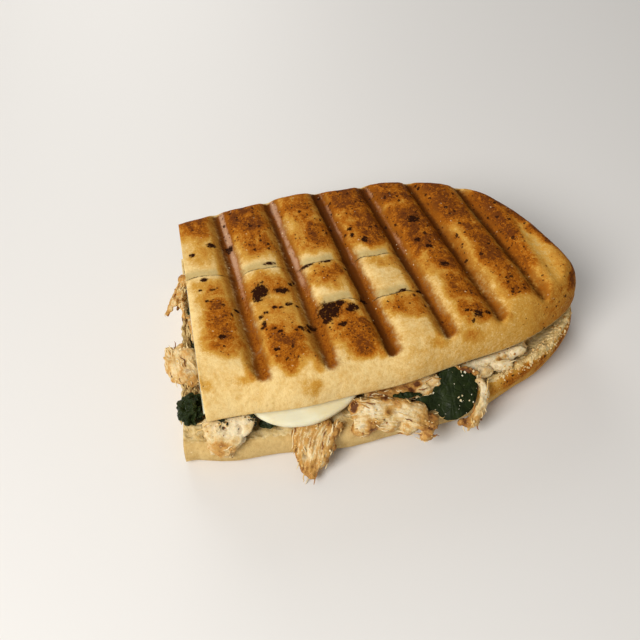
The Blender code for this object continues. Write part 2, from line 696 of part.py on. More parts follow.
def crumpled_leaf(name, material, centre, radii, seed, levels):
    """A clump of wilted leaf, folded on itself."""
    bm = bmesh.new()
    bmesh.ops.create_icosphere(bm, subdivisions=levels, radius=1.0)
    for v in bm.verts:
        p = v.co.copy()
        fold = noise.noise(p * 1.9 + Vector((seed, 0.0, seed)))
        pleat = abs(noise.noise(p * 3.4 + Vector((0.0, seed, 0.0))))
        p *= 0.86 + 0.3 * fold + 0.24 * pleat
        v.co = Vector((centre[i] + p[i] * radii[i]) * MM for i in range(3))
    mesh = bpy.data.meshes.new(name)
    bm.to_mesh(mesh)
    bm.free()
    return place(name, mesh, material)


def draped_leaf(name, outline, lift, material, thickness):
    """A flat leaf that drapes forwards. outline holds its edge in plan (mm); lift gives z at y."""
    middle = np.mean(outline, axis=0)
    edge = smooth_path([*outline, outline[0]], 31)[:-1]
    bm = bmesh.new()
    shares = (1.0, 0.75, 0.45)
    rings = []
    for share in shares:
        ring = middle + (edge - middle) * share
        rings.append([bm.verts.new((*(p * MM), lift(p) * MM)) for p in ring])
    hub = bm.verts.new((*(middle * MM), lift(middle) * MM))
    count = len(edge)
    for outer, inner in zip(rings, rings[1:]):
        for k in range(count):
            after = (k + 1) % count
            bm.faces.new([outer[k], outer[after], inner[after]])
            bm.faces.new([outer[k], inner[after], inner[k]])
    for k in range(count):
        bm.faces.new([rings[-1][k], rings[-1][(k + 1) % count], hub])
    bmesh.ops.recalc_face_normals(bm, faces=bm.faces)
    mesh = bpy.data.meshes.new(name)
    bm.to_mesh(mesh)
    bm.free()
    obj = place(name, mesh, material)
    shell = obj.modifiers.new("Leaf", "SOLIDIFY")
    shell.thickness = thickness
    shell.offset = 0.0
    return obj


def leaf_height(p):
    """Height of the front leaf in mm: it slopes out over the chicken, cupped and rippled."""
    x, y = p
    back_x, back_y_mm, back_z = LEAF_BACK
    slope = back_z + (y - back_y_mm) * LEAF_SLOPE
    ripple = 0.35 * math.sin(x * 0.9) * math.cos(y * 0.6)
    return slope - LEAF_CUP * (x - back_x) ** 2 + ripple


def build_filling(chicken, spinach):
    """The pieces of chicken and spinach that stick out at the open side and at the cut."""
    for seed, (name, shred) in enumerate(SHREDS.items()):
        meat_shred(name, shred, chicken if name.startswith("chicken") else spinach, seed)
    for name, clump in CLUMPS.items():
        crumpled_leaf(name, spinach, **clump)
    draped_leaf("spinach_leaf", np.array(LEAF_EDGE), leaf_height, spinach, LEAF_THICKNESS)


def make_material(name):
    colour, roughness = COLOURS[name]
    material = bpy.data.materials.new(name)
    material.use_nodes = True
    shader = material.node_tree.nodes["Principled BSDF"]
    shader.inputs["Base Color"].default_value = (*colour, 1.0)
    shader.inputs["Roughness"].default_value = roughness
    shader.inputs["Metallic"].default_value = 0.0
    material.diffuse_color = (*colour, 1.0)
    return material


def centre_on_base(collection):
    """Moves the whole half so that the origin is the bottom centre of its box."""
    bpy.context.view_layer.update()
    graph = bpy.context.evaluated_depsgraph_get()
    corners = np.array(
        [corner for obj in collection.objects for corner in obj.evaluated_get(graph).bound_box]
    )
    middle = (corners.min(0) + corners.max(0)) / 2.0
    for obj in collection.objects:
        obj.data.transform(Matrix.Translation((-middle[0], -middle[1], 0.0)))
        obj.data.update()


for old in list(bpy.data.objects):
    bpy.data.objects.remove(old, do_unlink=True)
PANINI = bpy.data.collections.new("panini")
bpy.context.scene.collection.children.link(PANINI)
MATERIALS = {name: make_material(name) for name in COLOURS}
build_breads(MATERIALS["crust"], MATERIALS["crust_pale"])
build_chicken_layer(MATERIALS["chicken"])
build_spinach_layer(MATERIALS["spinach"])
build_cheese(MATERIALS["cheese"])
build_filling(MATERIALS["chicken"], MATERIALS["spinach"])
centre_on_base(PANINI)
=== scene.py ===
"""Looks of half a grilled panini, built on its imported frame.

The file is laid out as an add-on and run as a script. Each piece or group of like pieces has
its own operator, and the panel in the 3D view's sidebar lists them in the order in which they
are made. Shapes are worked out in the loaf's own frame, where the loaf runs along X and its
tip's line is near y = 0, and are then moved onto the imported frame.
"""

import json
import math

import bmesh
import bpy
import numpy as np
from bpy.props import FloatProperty, FloatVectorProperty, IntProperty, PointerProperty
from mathutils import Matrix, Vector, noise
from mathutils.bvhtree import BVHTree

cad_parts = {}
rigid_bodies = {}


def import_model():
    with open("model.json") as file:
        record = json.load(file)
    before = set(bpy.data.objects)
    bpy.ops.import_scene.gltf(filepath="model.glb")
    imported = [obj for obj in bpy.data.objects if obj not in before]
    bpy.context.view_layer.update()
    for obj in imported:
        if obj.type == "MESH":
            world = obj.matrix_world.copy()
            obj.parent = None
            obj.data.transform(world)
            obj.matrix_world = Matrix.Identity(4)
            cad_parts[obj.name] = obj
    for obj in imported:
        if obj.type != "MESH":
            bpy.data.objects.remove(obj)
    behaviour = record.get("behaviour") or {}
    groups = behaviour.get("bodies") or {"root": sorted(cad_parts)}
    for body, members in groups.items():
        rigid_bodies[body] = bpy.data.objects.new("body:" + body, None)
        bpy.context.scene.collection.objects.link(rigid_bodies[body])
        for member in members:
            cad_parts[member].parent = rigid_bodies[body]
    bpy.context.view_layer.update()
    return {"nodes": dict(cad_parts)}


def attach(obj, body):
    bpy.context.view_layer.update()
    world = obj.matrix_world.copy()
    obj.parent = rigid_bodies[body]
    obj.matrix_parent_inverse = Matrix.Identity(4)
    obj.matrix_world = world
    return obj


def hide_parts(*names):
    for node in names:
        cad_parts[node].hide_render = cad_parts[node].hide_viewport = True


bl_info = {
    "name": "Panini Half",
    "version": (1, 0, 0),
    "blender": (4, 5, 0),
    "location": "3D View > Sidebar > Panini",
    "description": "Builds the crust, crumb and filling of half a grilled panini, and its stage",
    "category": "Add Mesh",
}

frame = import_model()
MM = 0.001

# Levels of the layers, as the frame has them
CRUMB_LEVEL = 13.0 * MM
CHEESE_LEVELS = (20.5 * MM, 23.0 * MM)
TOP_FLOOR = 23.3 * MM
TOP_LAND = 42.3 * MM
# How much lower the upper layers get for each metre along the loaf
SINK = 0.022

# Plan outlines: the cut and its lean, the heel's tip, the reach, two powers of the rounding and
# the taper of each long side, and how wavy the sides are
TOP_OUTLINE = {
    "cut_x": -77.6 * MM,
    "cut_lean": 0.0,
    "tip": (74.8 * MM, -6.0 * MM),
    "front": (36.6 * MM, 2.7, 2.0, 0.0),
    "back": (62.8 * MM, 7.7, 1.2, 0.18),
    "wobble": 0.5 * MM,
}
BOTTOM_OUTLINE = {
    "cut_x": -82.9 * MM,
    "cut_lean": 0.1,
    "tip": (75.8 * MM, -4.0 * MM),
    "front": (48.4 * MM, 3.6, 2.0, 0.13),
    "back": (55.2 * MM, 7.8, 1.2, 0.18),
    "wobble": 0.6 * MM,
}
TAPER_POWER = 4.5
WOBBLE_LENGTH = 7.0 * MM
WOBBLE_PHASE = 0.9 / MM
# How far in from a slanted cut the mesh still leans, and the width below which its rows draw in
LEAN_REACH = 15.0 * MM
NARROW_WIDTH = 60.0 * MM

# The wall that stands on an outline, to measure distances from: posts, half height, and how far
# past the cut it starts
WALL_POSTS = 900
WALL_HEIGHT = 5.0 * MM
WALL_START = 20.0 * MM
# Points closer than this are joined, in a new mesh and in one from the frame
WELD_GAP = 0.002 * MM
FRAME_WELD_GAP = 0.001 * MM
# Radians in a full turn, near enough for crumbs
FULL_TURN = 6.28

# Grill grooves, each a little closer to the last and leaning a little more, and the lower
# plate's marks on the underside: their depth, half width, and how far in they start
GROOVE_COUNT = 6
FIRST_GROOVE_X = -59.0 * MM
GROOVE_PITCH = 23.4 * MM
PITCH_LOSS = 0.33 * MM
FIRST_GROOVE_LEAN = -0.066
GROOVE_FAN = -0.028
GROOVE_HALF_WIDTH = 3.0 * MM
UNDER_GROOVE_DEPTH = 1.2 * MM
UNDER_GROOVE_REACH = 3.6 * MM
UNDER_GROOVE_EDGE = (4.0 * MM, 10.0 * MM)
# The shallow crease before the heel: x at y = 0, lean and depth
HEEL_CREASE = (60.4 * MM, -0.13, 1.6 * MM)

# Bands of colour along each groove: how far right of its middle the band lies, its width, and
# its strength on each groove. They are the toasted floor, painted shade on the wall at the
# floor's left, the golden bank left of the groove, and a painted sheen at the floor's right
GROOVE_FLOOR = (0.9 * MM, 3.4 * MM, (1.05, 1.05, 1.05, 0.95, 0.8, 0.7))
GROOVE_SHADE = (-0.4 * MM, 2.0 * MM, (0.7, 0.8, 1.6, 1.1, 0.95, 0.95))
GROOVE_BANK = (-3.6 * MM, 2.2 * MM, (0.5, 0.55, 0.6, 0.55, 0.6, 0.6))
GROOVE_SHEEN = (1.7 * MM, 1.2 * MM, (1.0, 0.85, 0.5, 0.45, 0.1, 0.0))

# How far the top bread's front edge sags forwards and down over the cheese, the stretch of x
# over which that ends, and the stretch of y over which it starts
FRONT_SAG = (1.4 * MM, 1.7 * MM)
SAG_END = (14.0 * MM, -20.0 * MM)
SAG_START = (-18.0 * MM, -34.0 * MM)

# Crust of the top bread
DOME_RISE = 18.5 * MM
SHOULDER = 15.0 * MM
SHOULDER_POWER = 2.1
TOP_RIM_LIFT = 2.6 * MM
RIM_ROUND = 4.0 * MM
PRESS_BLEND = 1.4 * MM
PILLOW_POWER = 2.5
# Score lines: y, first and last x, and the height, length and phase of the waves in them
SCORES = ((9.3 * MM, -80.0 * MM, 8.0 * MM), (-11.4 * MM, -31.0 * MM, 11.0 * MM))
SCORE_WAVES = ((0.35 * MM, 4.1 * MM, 0.0), (0.25 * MM, 1.7 * MM, 1.0))
SCORE_END = 3.0 * MM
SCORE_HALF_WIDTH = 0.65 * MM
SCORE_STEP = 0.7 * MM
SCORE_STEP_REACH = 6.0 * MM

# Wall and lip of the bottom bread, and where the lip rises round the heel and along the back
BOTTOM_WIDEST = 5.5 * MM
BOTTOM_RIM = 12.2 * MM
LIP_CLEARANCE = 1.9 * MM
LIP_INSET = 2.8 * MM
LIP_WIDTH = 4.0 * MM
LIP_HEEL = (2.0 * MM, 56.0 * MM)
LIP_BACK = (16.0 * MM, 34.0 * MM)

# How far the bottom bread's foot is tucked in at the heel, where that starts and ends along x
# and y, how high and how far in it reaches, and which way it goes
HEEL_TUCK = 3.0 * MM
TUCK_X = (16.0 * MM, 50.0 * MM)
TUCK_Y = (8.0 * MM, -6.0 * MM)
TUCK_TOP = 15.0 * MM
TUCK_DEPTH = (4.0 * MM, 16.0 * MM)
TUCK_WAY = (-0.45, 0.9)

# The torn brim of the bottom bread at the heel: where it starts in x and in z, its last y, the
# stretch of z over which it gets rough, and where its crumbs lie
RIPPED_X, RIPPED_Z, RIPPED_Y = 14.0 * MM, 14.5 * MM, 6.0 * MM
BRIM_RISE = (14.5 * MM, 17.0 * MM)
BRIM_CRUMBS_Z = 15.5 * MM
BRIM_CRUMBS_IN = (0.8 * MM, 8.0 * MM)
BRIM_CRUMBS_Y = (-8.0 * MM, 6.0 * MM)

# Faces of each bread half: rows down its cut, how much coarser the bottom one is, and how wide a
# strip at the cut the swell of the crust leaves alone
TOP_CUT_ROWS, BOTTOM_CUT_ROWS = 34, 24
BOTTOM_COARSER = 1.25
CALM_STRIP = 1.2 * MM
# Holes of the crumb on the cut: spacing, share, seed and strength
CUT_HOLES = ((3.4 * MM, 0.55, 1, 0.7), (1.5 * MM, 0.5, 2, 0.6))
DEEPEST_HOLE = 1.6 * MM
# Swell of a crust: strength and size of each of its waves
SWELLS = ((1.0, 13.0 * MM), (0.3, 4.5 * MM), (0.12, 1.6 * MM))
# Where the crumb shows on the bottom bread's brim: its lowest z, how much lower it is where the
# brim is torn, and the stretches of x and y over which that starts and ends
CRUMB_BRIM_Z, CRUMB_BRIM_DROP = 20.5 * MM, 3.4 * MM
CRUMB_BRIM_X, CRUMB_BRIM_Y = (-6.0 * MM, 24.0 * MM), (-6.0 * MM, 16.0 * MM)

# Where the plate has browned the lands: land, from y to y in mm, from one share across it to
# another, and strength. Land 1 is the one at the cut
BROWNED = (
    (1, 29.0, 60.0, -0.1, 0.85, 0.92),
    (1, 14.0, 30.0, 0.1, 0.8, 0.36),
    (1, -5.0, 8.0, 0.15, 0.85, 0.52),
    (1, -29.0, -3.0, 0.22, 0.84, 0.92),
    (2, 29.0, 60.0, 0.0, 0.85, 1.12),
    (2, 15.0, 33.0, 0.25, 0.8, 0.98),
    (2, 17.0, 30.0, 0.05, 0.4, 0.4),
    (2, -8.0, 6.0, 0.1, 0.95, 0.66),
    (2, -20.0, -6.0, 0.12, 0.9, 0.5),
    (2, -37.0, -18.0, 0.2, 0.78, 1.0),
    (2, -33.0, -18.0, 0.7, 1.0, 0.66),
    (3, 31.0, 60.0, 0.12, 0.85, 0.78),
    (3, 14.0, 34.0, 0.3, 0.92, 0.92),
    (3, 14.0, 30.0, 0.0, 0.4, 0.6),
    (3, -3.0, 8.0, 0.3, 0.95, 0.9),
    (3, -23.0, -12.0, 0.05, 0.75, 0.8),
    (3, -38.0, -20.0, 0.28, 0.88, 1.02),
    (3, -33.0, -20.0, 0.0, 0.35, 0.6),
    (4, 33.0, 60.0, 0.0, 1.0, 1.05),
    (4, 13.0, 36.0, 0.25, 1.0, 1.05),
    (4, 13.0, 36.0, -0.1, 0.3, 0.85),
    (4, 2.0, 8.0, 0.3, 1.0, 0.62),
    (4, -25.0, -12.0, 0.2, 0.95, 0.66),
    (5, 34.0, 60.0, 0.0, 1.0, 1.0),
    (5, 6.0, 36.0, 0.1, 1.0, 1.12),
    (5, -8.0, 9.0, 0.35, 1.0, 1.0),
    (5, -8.0, 8.0, 0.0, 0.4, 0.6),
    (5, -21.0, -5.0, 0.36, 1.0, 0.92),
    (5, -31.0, -20.0, 0.3, 0.9, 1.06),
    (6, 20.0, 60.0, 0.0, 0.85, 1.08),
    (6, -8.0, 22.0, 0.28, 0.9, 1.1),
    (6, -6.0, 22.0, -0.1, 0.28, 0.55),
    (6, -23.0, -5.0, 0.3, 0.85, 1.04),
    (7, 8.0, 40.0, -0.06, 0.42, 1.35),
    (7, -10.0, 10.0, -0.1, 0.28, 1.3),
    (7, -14.0, 12.0, 0.52, 0.85, 0.75),
)
LAND_FADE = 5.5
SHARE_FADE = 0.27
# Burnt spots: x, y, half length and half width in mm
BURNT = (
    (-51.3, -2.4, 3.0, 3.4),
    (-52.8, -5.2, 1.6, 1.8),
    (-43.5, -3.2, 2.6, 1.5),
    (-52.7, -14.2, 0.9, 0.9),
    (-50.6, -12.7, 0.9, 0.7),
    (-47.0, -10.9, 1.0, 0.7),
    (-44.9, -11.4, 0.8, 0.6),
    (-42.2, -10.2, 0.9, 0.8),
    (-40.9, -9.7, 0.7, 0.9),
    (-38.7, -10.9, 0.9, 0.7),
    (-52.1, -17.6, 0.8, 1.1),
    (-52.9, -19.4, 0.8, 0.8),
    (-49.0, -20.9, 1.0, 0.6),
    (-46.8, -22.5, 0.9, 0.6),
    (-39.4, -21.7, 1.2, 0.7),
    (-37.0, -22.8, 1.3, 0.7),
    (-49.6, -30.2, 1.0, 0.8),
    (-39.4, 0.6, 1.0, 0.8),
    (-38.1, 2.5, 0.6, 0.8),
    (-72.9, 1.8, 0.9, 0.6),
    (-68.4, 1.4, 1.0, 0.7),
    (-71.0, -3.6, 0.6, 0.6),
    (-60.9, -8.1, 0.9, 0.8),
    (-67.8, -22.0, 0.8, 0.8),
    (-16.8, 5.6, 0.8, 0.6),
    (-10.9, 24.6, 1.0, 0.9),
    (-10.9, 21.1, 0.7, 1.1),
    (-18.2, 28.4, 0.8, 0.7),
    (-27.9, -15.8, 4.2, 3.8),
    (-29.2, -19.6, 1.6, 1.6),
    (-23.6, -13.2, 2.4, 1.2),
    (-19.2, -16.0, 2.3, 2.0),
    (-24.4, -23.2, 1.7, 1.1),
    (-35.4, -20.4, 1.7, 1.4),
    (-31.8, 8.2, 2.4, 1.0),
    (-24.0, 8.6, 2.4, 1.0),
    (-45.5, 11.6, 2.2, 0.7),
    (-66.2, 25.4, 1.5, 1.2),
    (-74.2, 21.0, 1.3, 0.9),
    (-71.0, 7.0, 1.3, 0.9),
    (-67.6, -21.5, 1.3, 1.1),
    (-59.6, 25.0, 1.6, 1.6),
    (15.7, 25.6, 2.6, 2.2),
    (17.6, 9.6, 1.5, 1.0),
    (14.0, 14.0, 1.3, 0.9),
    (20.4, -1.0, 1.7, 1.2),
    (25.4, -27.0, 1.6, 1.7),
    (29.6, -26.6, 1.4, 0.9),
    (21.4, -25.0, 0.9, 0.7),
    (-6.6, 17.6, 1.5, 1.6),
    (1.6, -10.6, 1.6, 0.7),
    (7.8, -10.2, 1.3, 0.7),
    (-13.6, -10.6, 1.5, 1.0),
)

# Faintly browned spots off the lands: x, y, half length, half width in mm, and strength
FAINT = (
    (-39.6, -42.2, 5.0, 1.7, 0.44),
    (-76.4, -38.4, 4.0, 2.4, 0.3),
    (-62.0, -38.8, 8.0, 1.8, 0.26),
    (8.7, -34.7, 6.0, 2.4, 0.5),
    (22.0, -33.0, 8.0, 2.4, 0.45),
    (35.0, -28.5, 8.0, 3.0, 0.5),
    (55.0, -24.0, 6.0, 4.0, 0.55),
)
# How golden the crust is by the heel and over the whole length, and along which x it gets so.
# This is partly baking and partly painted shade, darker where the crust turns away from the light
HEEL_TONE_AND_SHADE = 0.56
HEEL_TONE_X = (24.0 * MM, 62.0 * MM)
WARMTH_AND_SHADE = 0.34
WARMTH_X = (-70.0 * MM, 70.0 * MM)

# Browned rim round the heel: its width and how much wider it is at the back, where that turn is,
# where it starts along the loaf, where it fades towards the front, and how low it reaches
HEEL_RIM_WIDTH = (5.2 * MM, 5.4 * MM)
HEEL_RIM_TURN = (-12.0 * MM, 6.0 * MM)
HEEL_RIM_X = (40.0 * MM, 54.0 * MM)
HEEL_RIM_Y = (-25.0 * MM, -13.0 * MM)
HEEL_RIM_Z = (26.0 * MM, 35.0 * MM)
# Browned rim along the back: where it starts, and how wide it is
BACK_RIM_Y = (20.0 * MM, 34.0 * MM)
BACK_RIM_WIDTH = (2.0 * MM, 7.0 * MM)
# How far above the groove's floor the dome has to stand for the grill to mark it, and to brown it
MARKED = (-1.6 * MM, 2.0 * MM)
PRESSED = (-1.0 * MM, 2.6 * MM)
# Where the back of the loaf begins, which the grooves' painted sheen keeps to, and towards which
# the painted shade on their walls gets darker
BACK_Y = (-22.0 * MM, 16.0 * MM)

# Baked parts of the bottom bread: the heel along x, its fade along y, a ridge in mm above the
# floor with its fade, the foot, and the flat underside with its fade inwards
BAKED_X = (14.0 * MM, 40.0 * MM)
BAKED_Y = (-8.0 * MM, 18.0 * MM)
BAKED_RIDGE = (9.0, 16.5, 3.0)
BAKED_RIDGE_IN = 3.4 * MM
BAKED_FOOT = (1.0 * MM, 6.5 * MM)
UNDERSIDE_Z = 1.6 * MM
UNDERSIDE_IN = (3.0 * MM, 9.0 * MM)

# The melted lip of cheese, as the frame has it
CHEESE_FROM, CHEESE_TO, CHEESE_FRONT = -78.4 * MM, 48.0 * MM, -38.8 * MM
CHEESE_BACK = 10.0 * MM
CHEESE_LIP = (-62.0 * MM, -21.5 * MM)
LIP_RUN = 9.0 * MM
LIP_FALL = 4.4 * MM
CHEESE_STEPS = ((5.0 * MM, -22.5 * MM, -15.5 * MM), (10.0 * MM, 10.0 * MM, 48.0 * MM))
CHEESE_RIM = 3.0 * MM
# Spacing of its rows, how far in its edge is rounded, columns of points across the lip and
# behind it, and rows past the lip
CHEESE_SPACING = 0.6 * MM
CHEESE_EDGE = 1.3 * MM
LIP_COLUMNS, BACK_COLUMNS, BACK_ROWS = 26, 40, 30

# Each piece of meat: how seared it is all over and towards its edges, how stringy it is, how
# rough it is in mm, and lumps that are torn from it: x, y, z and three half sizes in mm. Marks
# are browner spots, or paler ones where the strength is negative, which are painted highlights:
# x, y, z, radius in mm and strength. A thin piece is drawn in by that many mm, and a shaved one
# is trimmed flatter on planes: x, y, z of a point in mm, and the direction out of the meat
MEAT = {
    "chicken_layer": {"tone": (0.3, 0.2), "stringy": 0.8, "rough": 0.5, "lumps": ()},
    "chicken_front_left": {
        "tone": (-0.14, 0.3),
        "stringy": 0.1,
        "rough": 0.42,
        "marks": (
            (-77.0, -49.0, 15.0, 4.6, 0.5),
            (-72.0, -50.5, 14.5, 5.0, 0.5),
            (-66.0, -46.0, 20.0, 5.0, -0.3),
        ),
        "shaved": (
            (-67.0, -49.4, 16.5, 0.69, -0.62, -0.38),
            (-71.4, -52.7, 13.4, -0.17, -0.84, -0.52),
            (-79.4, -46.4, 19.4, -0.99, -0.1, -0.06),
        ),
        "lumps": (
            (-76.4, -41.2, 17.2, 3.4, 3.0, 3.0),
            (-63.4, -42.2, 17.4, 3.4, 2.8, 2.8),
            (-77.0, -45.6, 9.4, 2.8, 2.6, 3.0),
            (-71.4, -47.6, 8.6, 4.0, 2.6, 3.0),
        ),
    },
    "chicken_hanging": {
        "tone": (0.32, 0.6),
        "stringy": 1.0,
        "rough": 0.6,
        "lumps": (
            (-35.4, -48.6, 12.0, 2.6, 3.0, 2.6),
            (-45.8, -48.2, 12.4, 2.4, 3.0, 2.6),
            (-33.2, -50.6, 14.2, 1.7, 1.6, 1.4),
            (-30.8, -48.8, 14.6, 1.4, 1.2, 1.2),
            (-34.6, -54.4, 10.4, 1.5, 1.6, 1.5),
            (-38.6, -56.8, 6.4, 2.2, 2.2, 2.2),
            (-43.4, -60.4, 3.4, 1.8, 1.8, 1.8),
        ),
    },
    "chicken_chunk": {
        "tone": (0.16, 0.5),
        "stringy": 0.6,
        "rough": 0.62,
        "marks": (
            (-24.4, -44.6, 20.6, 1.3, 1.7),
            (-25.0, -46.4, 20.0, 1.2, 1.7),
            (-19.0, -53.0, 16.5, 2.8, 0.8),
            (-12.5, -49.0, 19.0, 1.7, 0.7),
            (-9.0, -47.0, 19.5, 1.7, 0.7),
            (-12.5, -44.0, 20.0, 2.6, 0.5),
            (0.0, -55.5, 14.5, 3.2, 0.6),
            (2.5, -52.0, 15.0, 2.4, 0.6),
            (-17.0, -48.0, 20.0, 3.6, -0.4),
            (-8.0, -50.0, 18.0, 2.4, -0.3),
            (-23.8, -50.8, 17.4, 2.4, -0.55),
            (-21.6, -47.4, 20.0, 2.6, -0.4),
        ),
        "lumps": (
            (-22.0, -44.4, 17.0, 4.6, 3.6, 3.4),
            (-15.0, -44.6, 17.6, 5.0, 3.2, 3.2),
            (-8.0, -46.0, 17.0, 5.0, 3.2, 3.2),
            (-2.0, -48.6, 15.6, 4.4, 3.4, 3.2),
            (2.6, -52.6, 12.8, 3.2, 3.2, 3.0),
            (-22.6, -51.0, 13.6, 4.2, 3.2, 3.2),
            (-13.0, -51.2, 13.8, 4.6, 2.8, 3.0),
            (-5.6, -53.0, 12.0, 3.6, 2.6, 2.8),
            (0.4, -56.2, 9.8, 2.4, 2.2, 2.2),
        ),
    },
    "chicken_browned": {
        "tone": (0.16, 0.4),
        "stringy": 0.55,
        "rough": 0.5,
        "marks": (
            (-17.0, -42.0, 20.0, 2.4, 0.7),
            (-12.5, -41.5, 20.0, 2.8, 0.8),
            (-7.5, -41.0, 20.0, 2.8, 0.8),
            (-3.5, -40.0, 20.0, 2.2, 0.9),
            (0.5, -40.0, 19.5, 1.5, 1.4),
            (-2.0, -42.0, 19.5, 1.2, 1.4),
            (7.0, -38.0, 19.5, 3.0, -0.3),
        ),
        "lumps": (
            (-16.6, -39.6, 17.6, 3.0, 2.4, 2.2),
            (-11.6, -40.6, 17.4, 4.4, 3.2, 2.6),
            (-5.0, -41.4, 17.0, 5.0, 3.2, 2.6),
            (2.0, -41.2, 17.0, 4.6, 3.2, 2.8),
            (7.2, -39.0, 17.6, 3.2, 3.0, 2.8),
        ),
    },
    "chicken_curl": {
        "tone": (0.16, 0.5),
        "stringy": 0.5,
        "rough": 0.6,
        "thin": 0.45,
        "marks": (
            (18.0, -38.5, 21.5, 2.6, 0.4),
            (21.5, -40.0, 20.5, 2.6, 0.4),
            (23.0, -48.0, 17.0, 3.4, -0.4),
            (18.0, -53.0, 11.0, 2.6, 0.5),
            (15.5, -54.0, 9.5, 2.4, 0.7),
        ),
        "lumps": (
            (15.6, -36.6, 21.6, 2.4, 0.9, 0.8),
            (18.6, -37.5, 21.5, 2.0, 0.8, 0.7),
            (21.0, -38.6, 21.3, 1.5, 0.9, 0.75),
            (23.0, -39.9, 20.6, 1.4, 1.1, 0.8),
            (24.8, -43.2, 18.4, 1.2, 2.2, 1.1),
            (24.6, -47.0, 15.4, 1.6, 1.6, 1.6),
            (19.2, -53.0, 8.6, 2.8, 1.9, 2.2),
            (15.2, -52.8, 8.8, 1.8, 1.6, 1.8),
        ),
    },
    "chicken_strip": {
        "tone": (-0.2, 0.24),
        "stringy": 0.4,
        "rough": 0.5,
        "marks": (
            (34.5, -34.5, 19.5, 1.4, 1.0),
            (37.0, -33.5, 19.5, 1.1, 1.0),
            (29.0, -36.0, 19.0, 1.2, 0.7),
            (27.0, -33.0, 19.0, 3.0, -0.4),
        ),
        "lumps": (
            (27.0, -38.0, 17.4, 4.0, 2.2, 2.4),
            (35.0, -36.4, 17.4, 4.6, 2.2, 2.4),
            (42.6, -31.6, 18.2, 4.0, 2.0, 2.0),
        ),
    },
    "chicken_cut_chunk": {
        "tone": (0.1, 0.36),
        "stringy": 0.4,
        "rough": 0.65,
        "lumps": (
            (-88.2, -5.6, 17.6, 2.0, 2.2, 2.6),
            (-88.4, -11.2, 17.4, 1.6, 1.8, 2.2),
            (-85.0, -17.4, 16.6, 2.2, 2.2, 2.6),
            (-84.0, -4.0, 17.4, 2.2, 1.8, 2.4),
            (-80.6, -19.4, 16.0, 2.6, 2.4, 2.6),
        ),
    },
    "chicken_cut_strand": {
        "tone": (0.4, 0.3),
        "stringy": 0.8,
        "rough": 0.45,
        "lumps": (
            (-79.2, 27.4, 21.6, 2.1, 3.2, 2.0),
            (-81.4, 20.6, 22.0, 2.1, 3.0, 1.9),
            (-83.8, 16.8, 21.8, 1.4, 2.8, 1.4),
            (-85.6, 14.2, 21.4, 1.0, 2.2, 1.0),
            (-87.0, 12.0, 20.8, 0.7, 1.6, 0.7),
            (-81.2, 15.0, 20.8, 1.3, 3.0, 1.3),
            (-80.8, 10.4, 20.2, 0.9, 2.6, 0.9),
        ),
    },
    "chicken_cut_shred": {"tone": (0.4, 0.4), "stringy": 0.8, "rough": 0.4, "lumps": ()},
}

# Mesh of the pieces from the frame: spacing for the hidden layer, and rounds of smoothing
LAYER_SPACING = 0.9 * MM
SMOOTHINGS = 3

# Green flecks on the front left piece: x, y and radius of each patch in mm, and how thickly the
# flecks lie in it, all above one height
HERBS = ((-72.2, -43.6, 1.9, 1.0), (-61.4, -42.4, 2.4, 0.7), (-66.0, -46.4, 1.2, 0.2))
HERBS_ABOVE = 13.0 * MM

# The ledge before the top bread's cut that the shreds lie on: its level, and its first and last
# y, and the part of it with greens: first x, and first and last y
LEDGE_Z, LEDGE_Y = 10.5 * MM, (-34.0 * MM, 22.0 * MM)
GREENS_X, GREENS_Y = -80.2 * MM, (-4.0 * MM, 19.0 * MM)

# Each bit of spinach but the leaf: spacing of its mesh, height of its pleats, and how wet it is,
# which sets its gloss and how much of it gets painted highlights
SPINACH = {
    "spinach_cut_clump": (0.28 * MM, 1.5 * MM, 1.0),
    "spinach_under_cheese": (0.3 * MM, 0.5 * MM, 0.6),
    "spinach_sliver": (0.25 * MM, 0.8 * MM, 0.0),
    "spinach_layer": (0.55 * MM, 0.2 * MM, 0.3),
}
# How wet the leaf is, which sets its gloss and its painted highlights
LEAF_WET = 0.3

# The edge of the front leaf in plan, the middle it is built round, its back edge, its fall
# towards the front, and its cup, in mm
LEAF_EDGE = (
    (10.2, -37.0),
    (18.2, -37.2),
    (23.4, -40.2),
    (22.8, -45.0),
    (19.8, -49.8),
    (14.8, -52.6),
    (10.2, -52.9),
    (6.9, -51.0),
    (5.6, -48.9),
    (1.4, -48.4),
    (-1.4, -45.4),
    (0.4, -42.6),
    (4.0, -42.8),
    (6.8, -41.6),
    (8.8, -39.8),
)
LEAF_MIDDLE = (12.0, -45.0)
LEAF_BACK = (14.0, -37.2, 21.4)
LEAF_SLOPE = 0.6
LEAF_CUP = 0.0175
# Its half thickness in mm, its rings of points, its midrib's x, how far apart its side ribs are,
# and how far its lobe is lifted over the chicken
LEAF_HALF = 0.4
LEAF_RINGS = 34
LEAF_RIB_X = 12.5
SIDE_RIB_PITCH = 3.4
LOBE_LIFT = 3.4

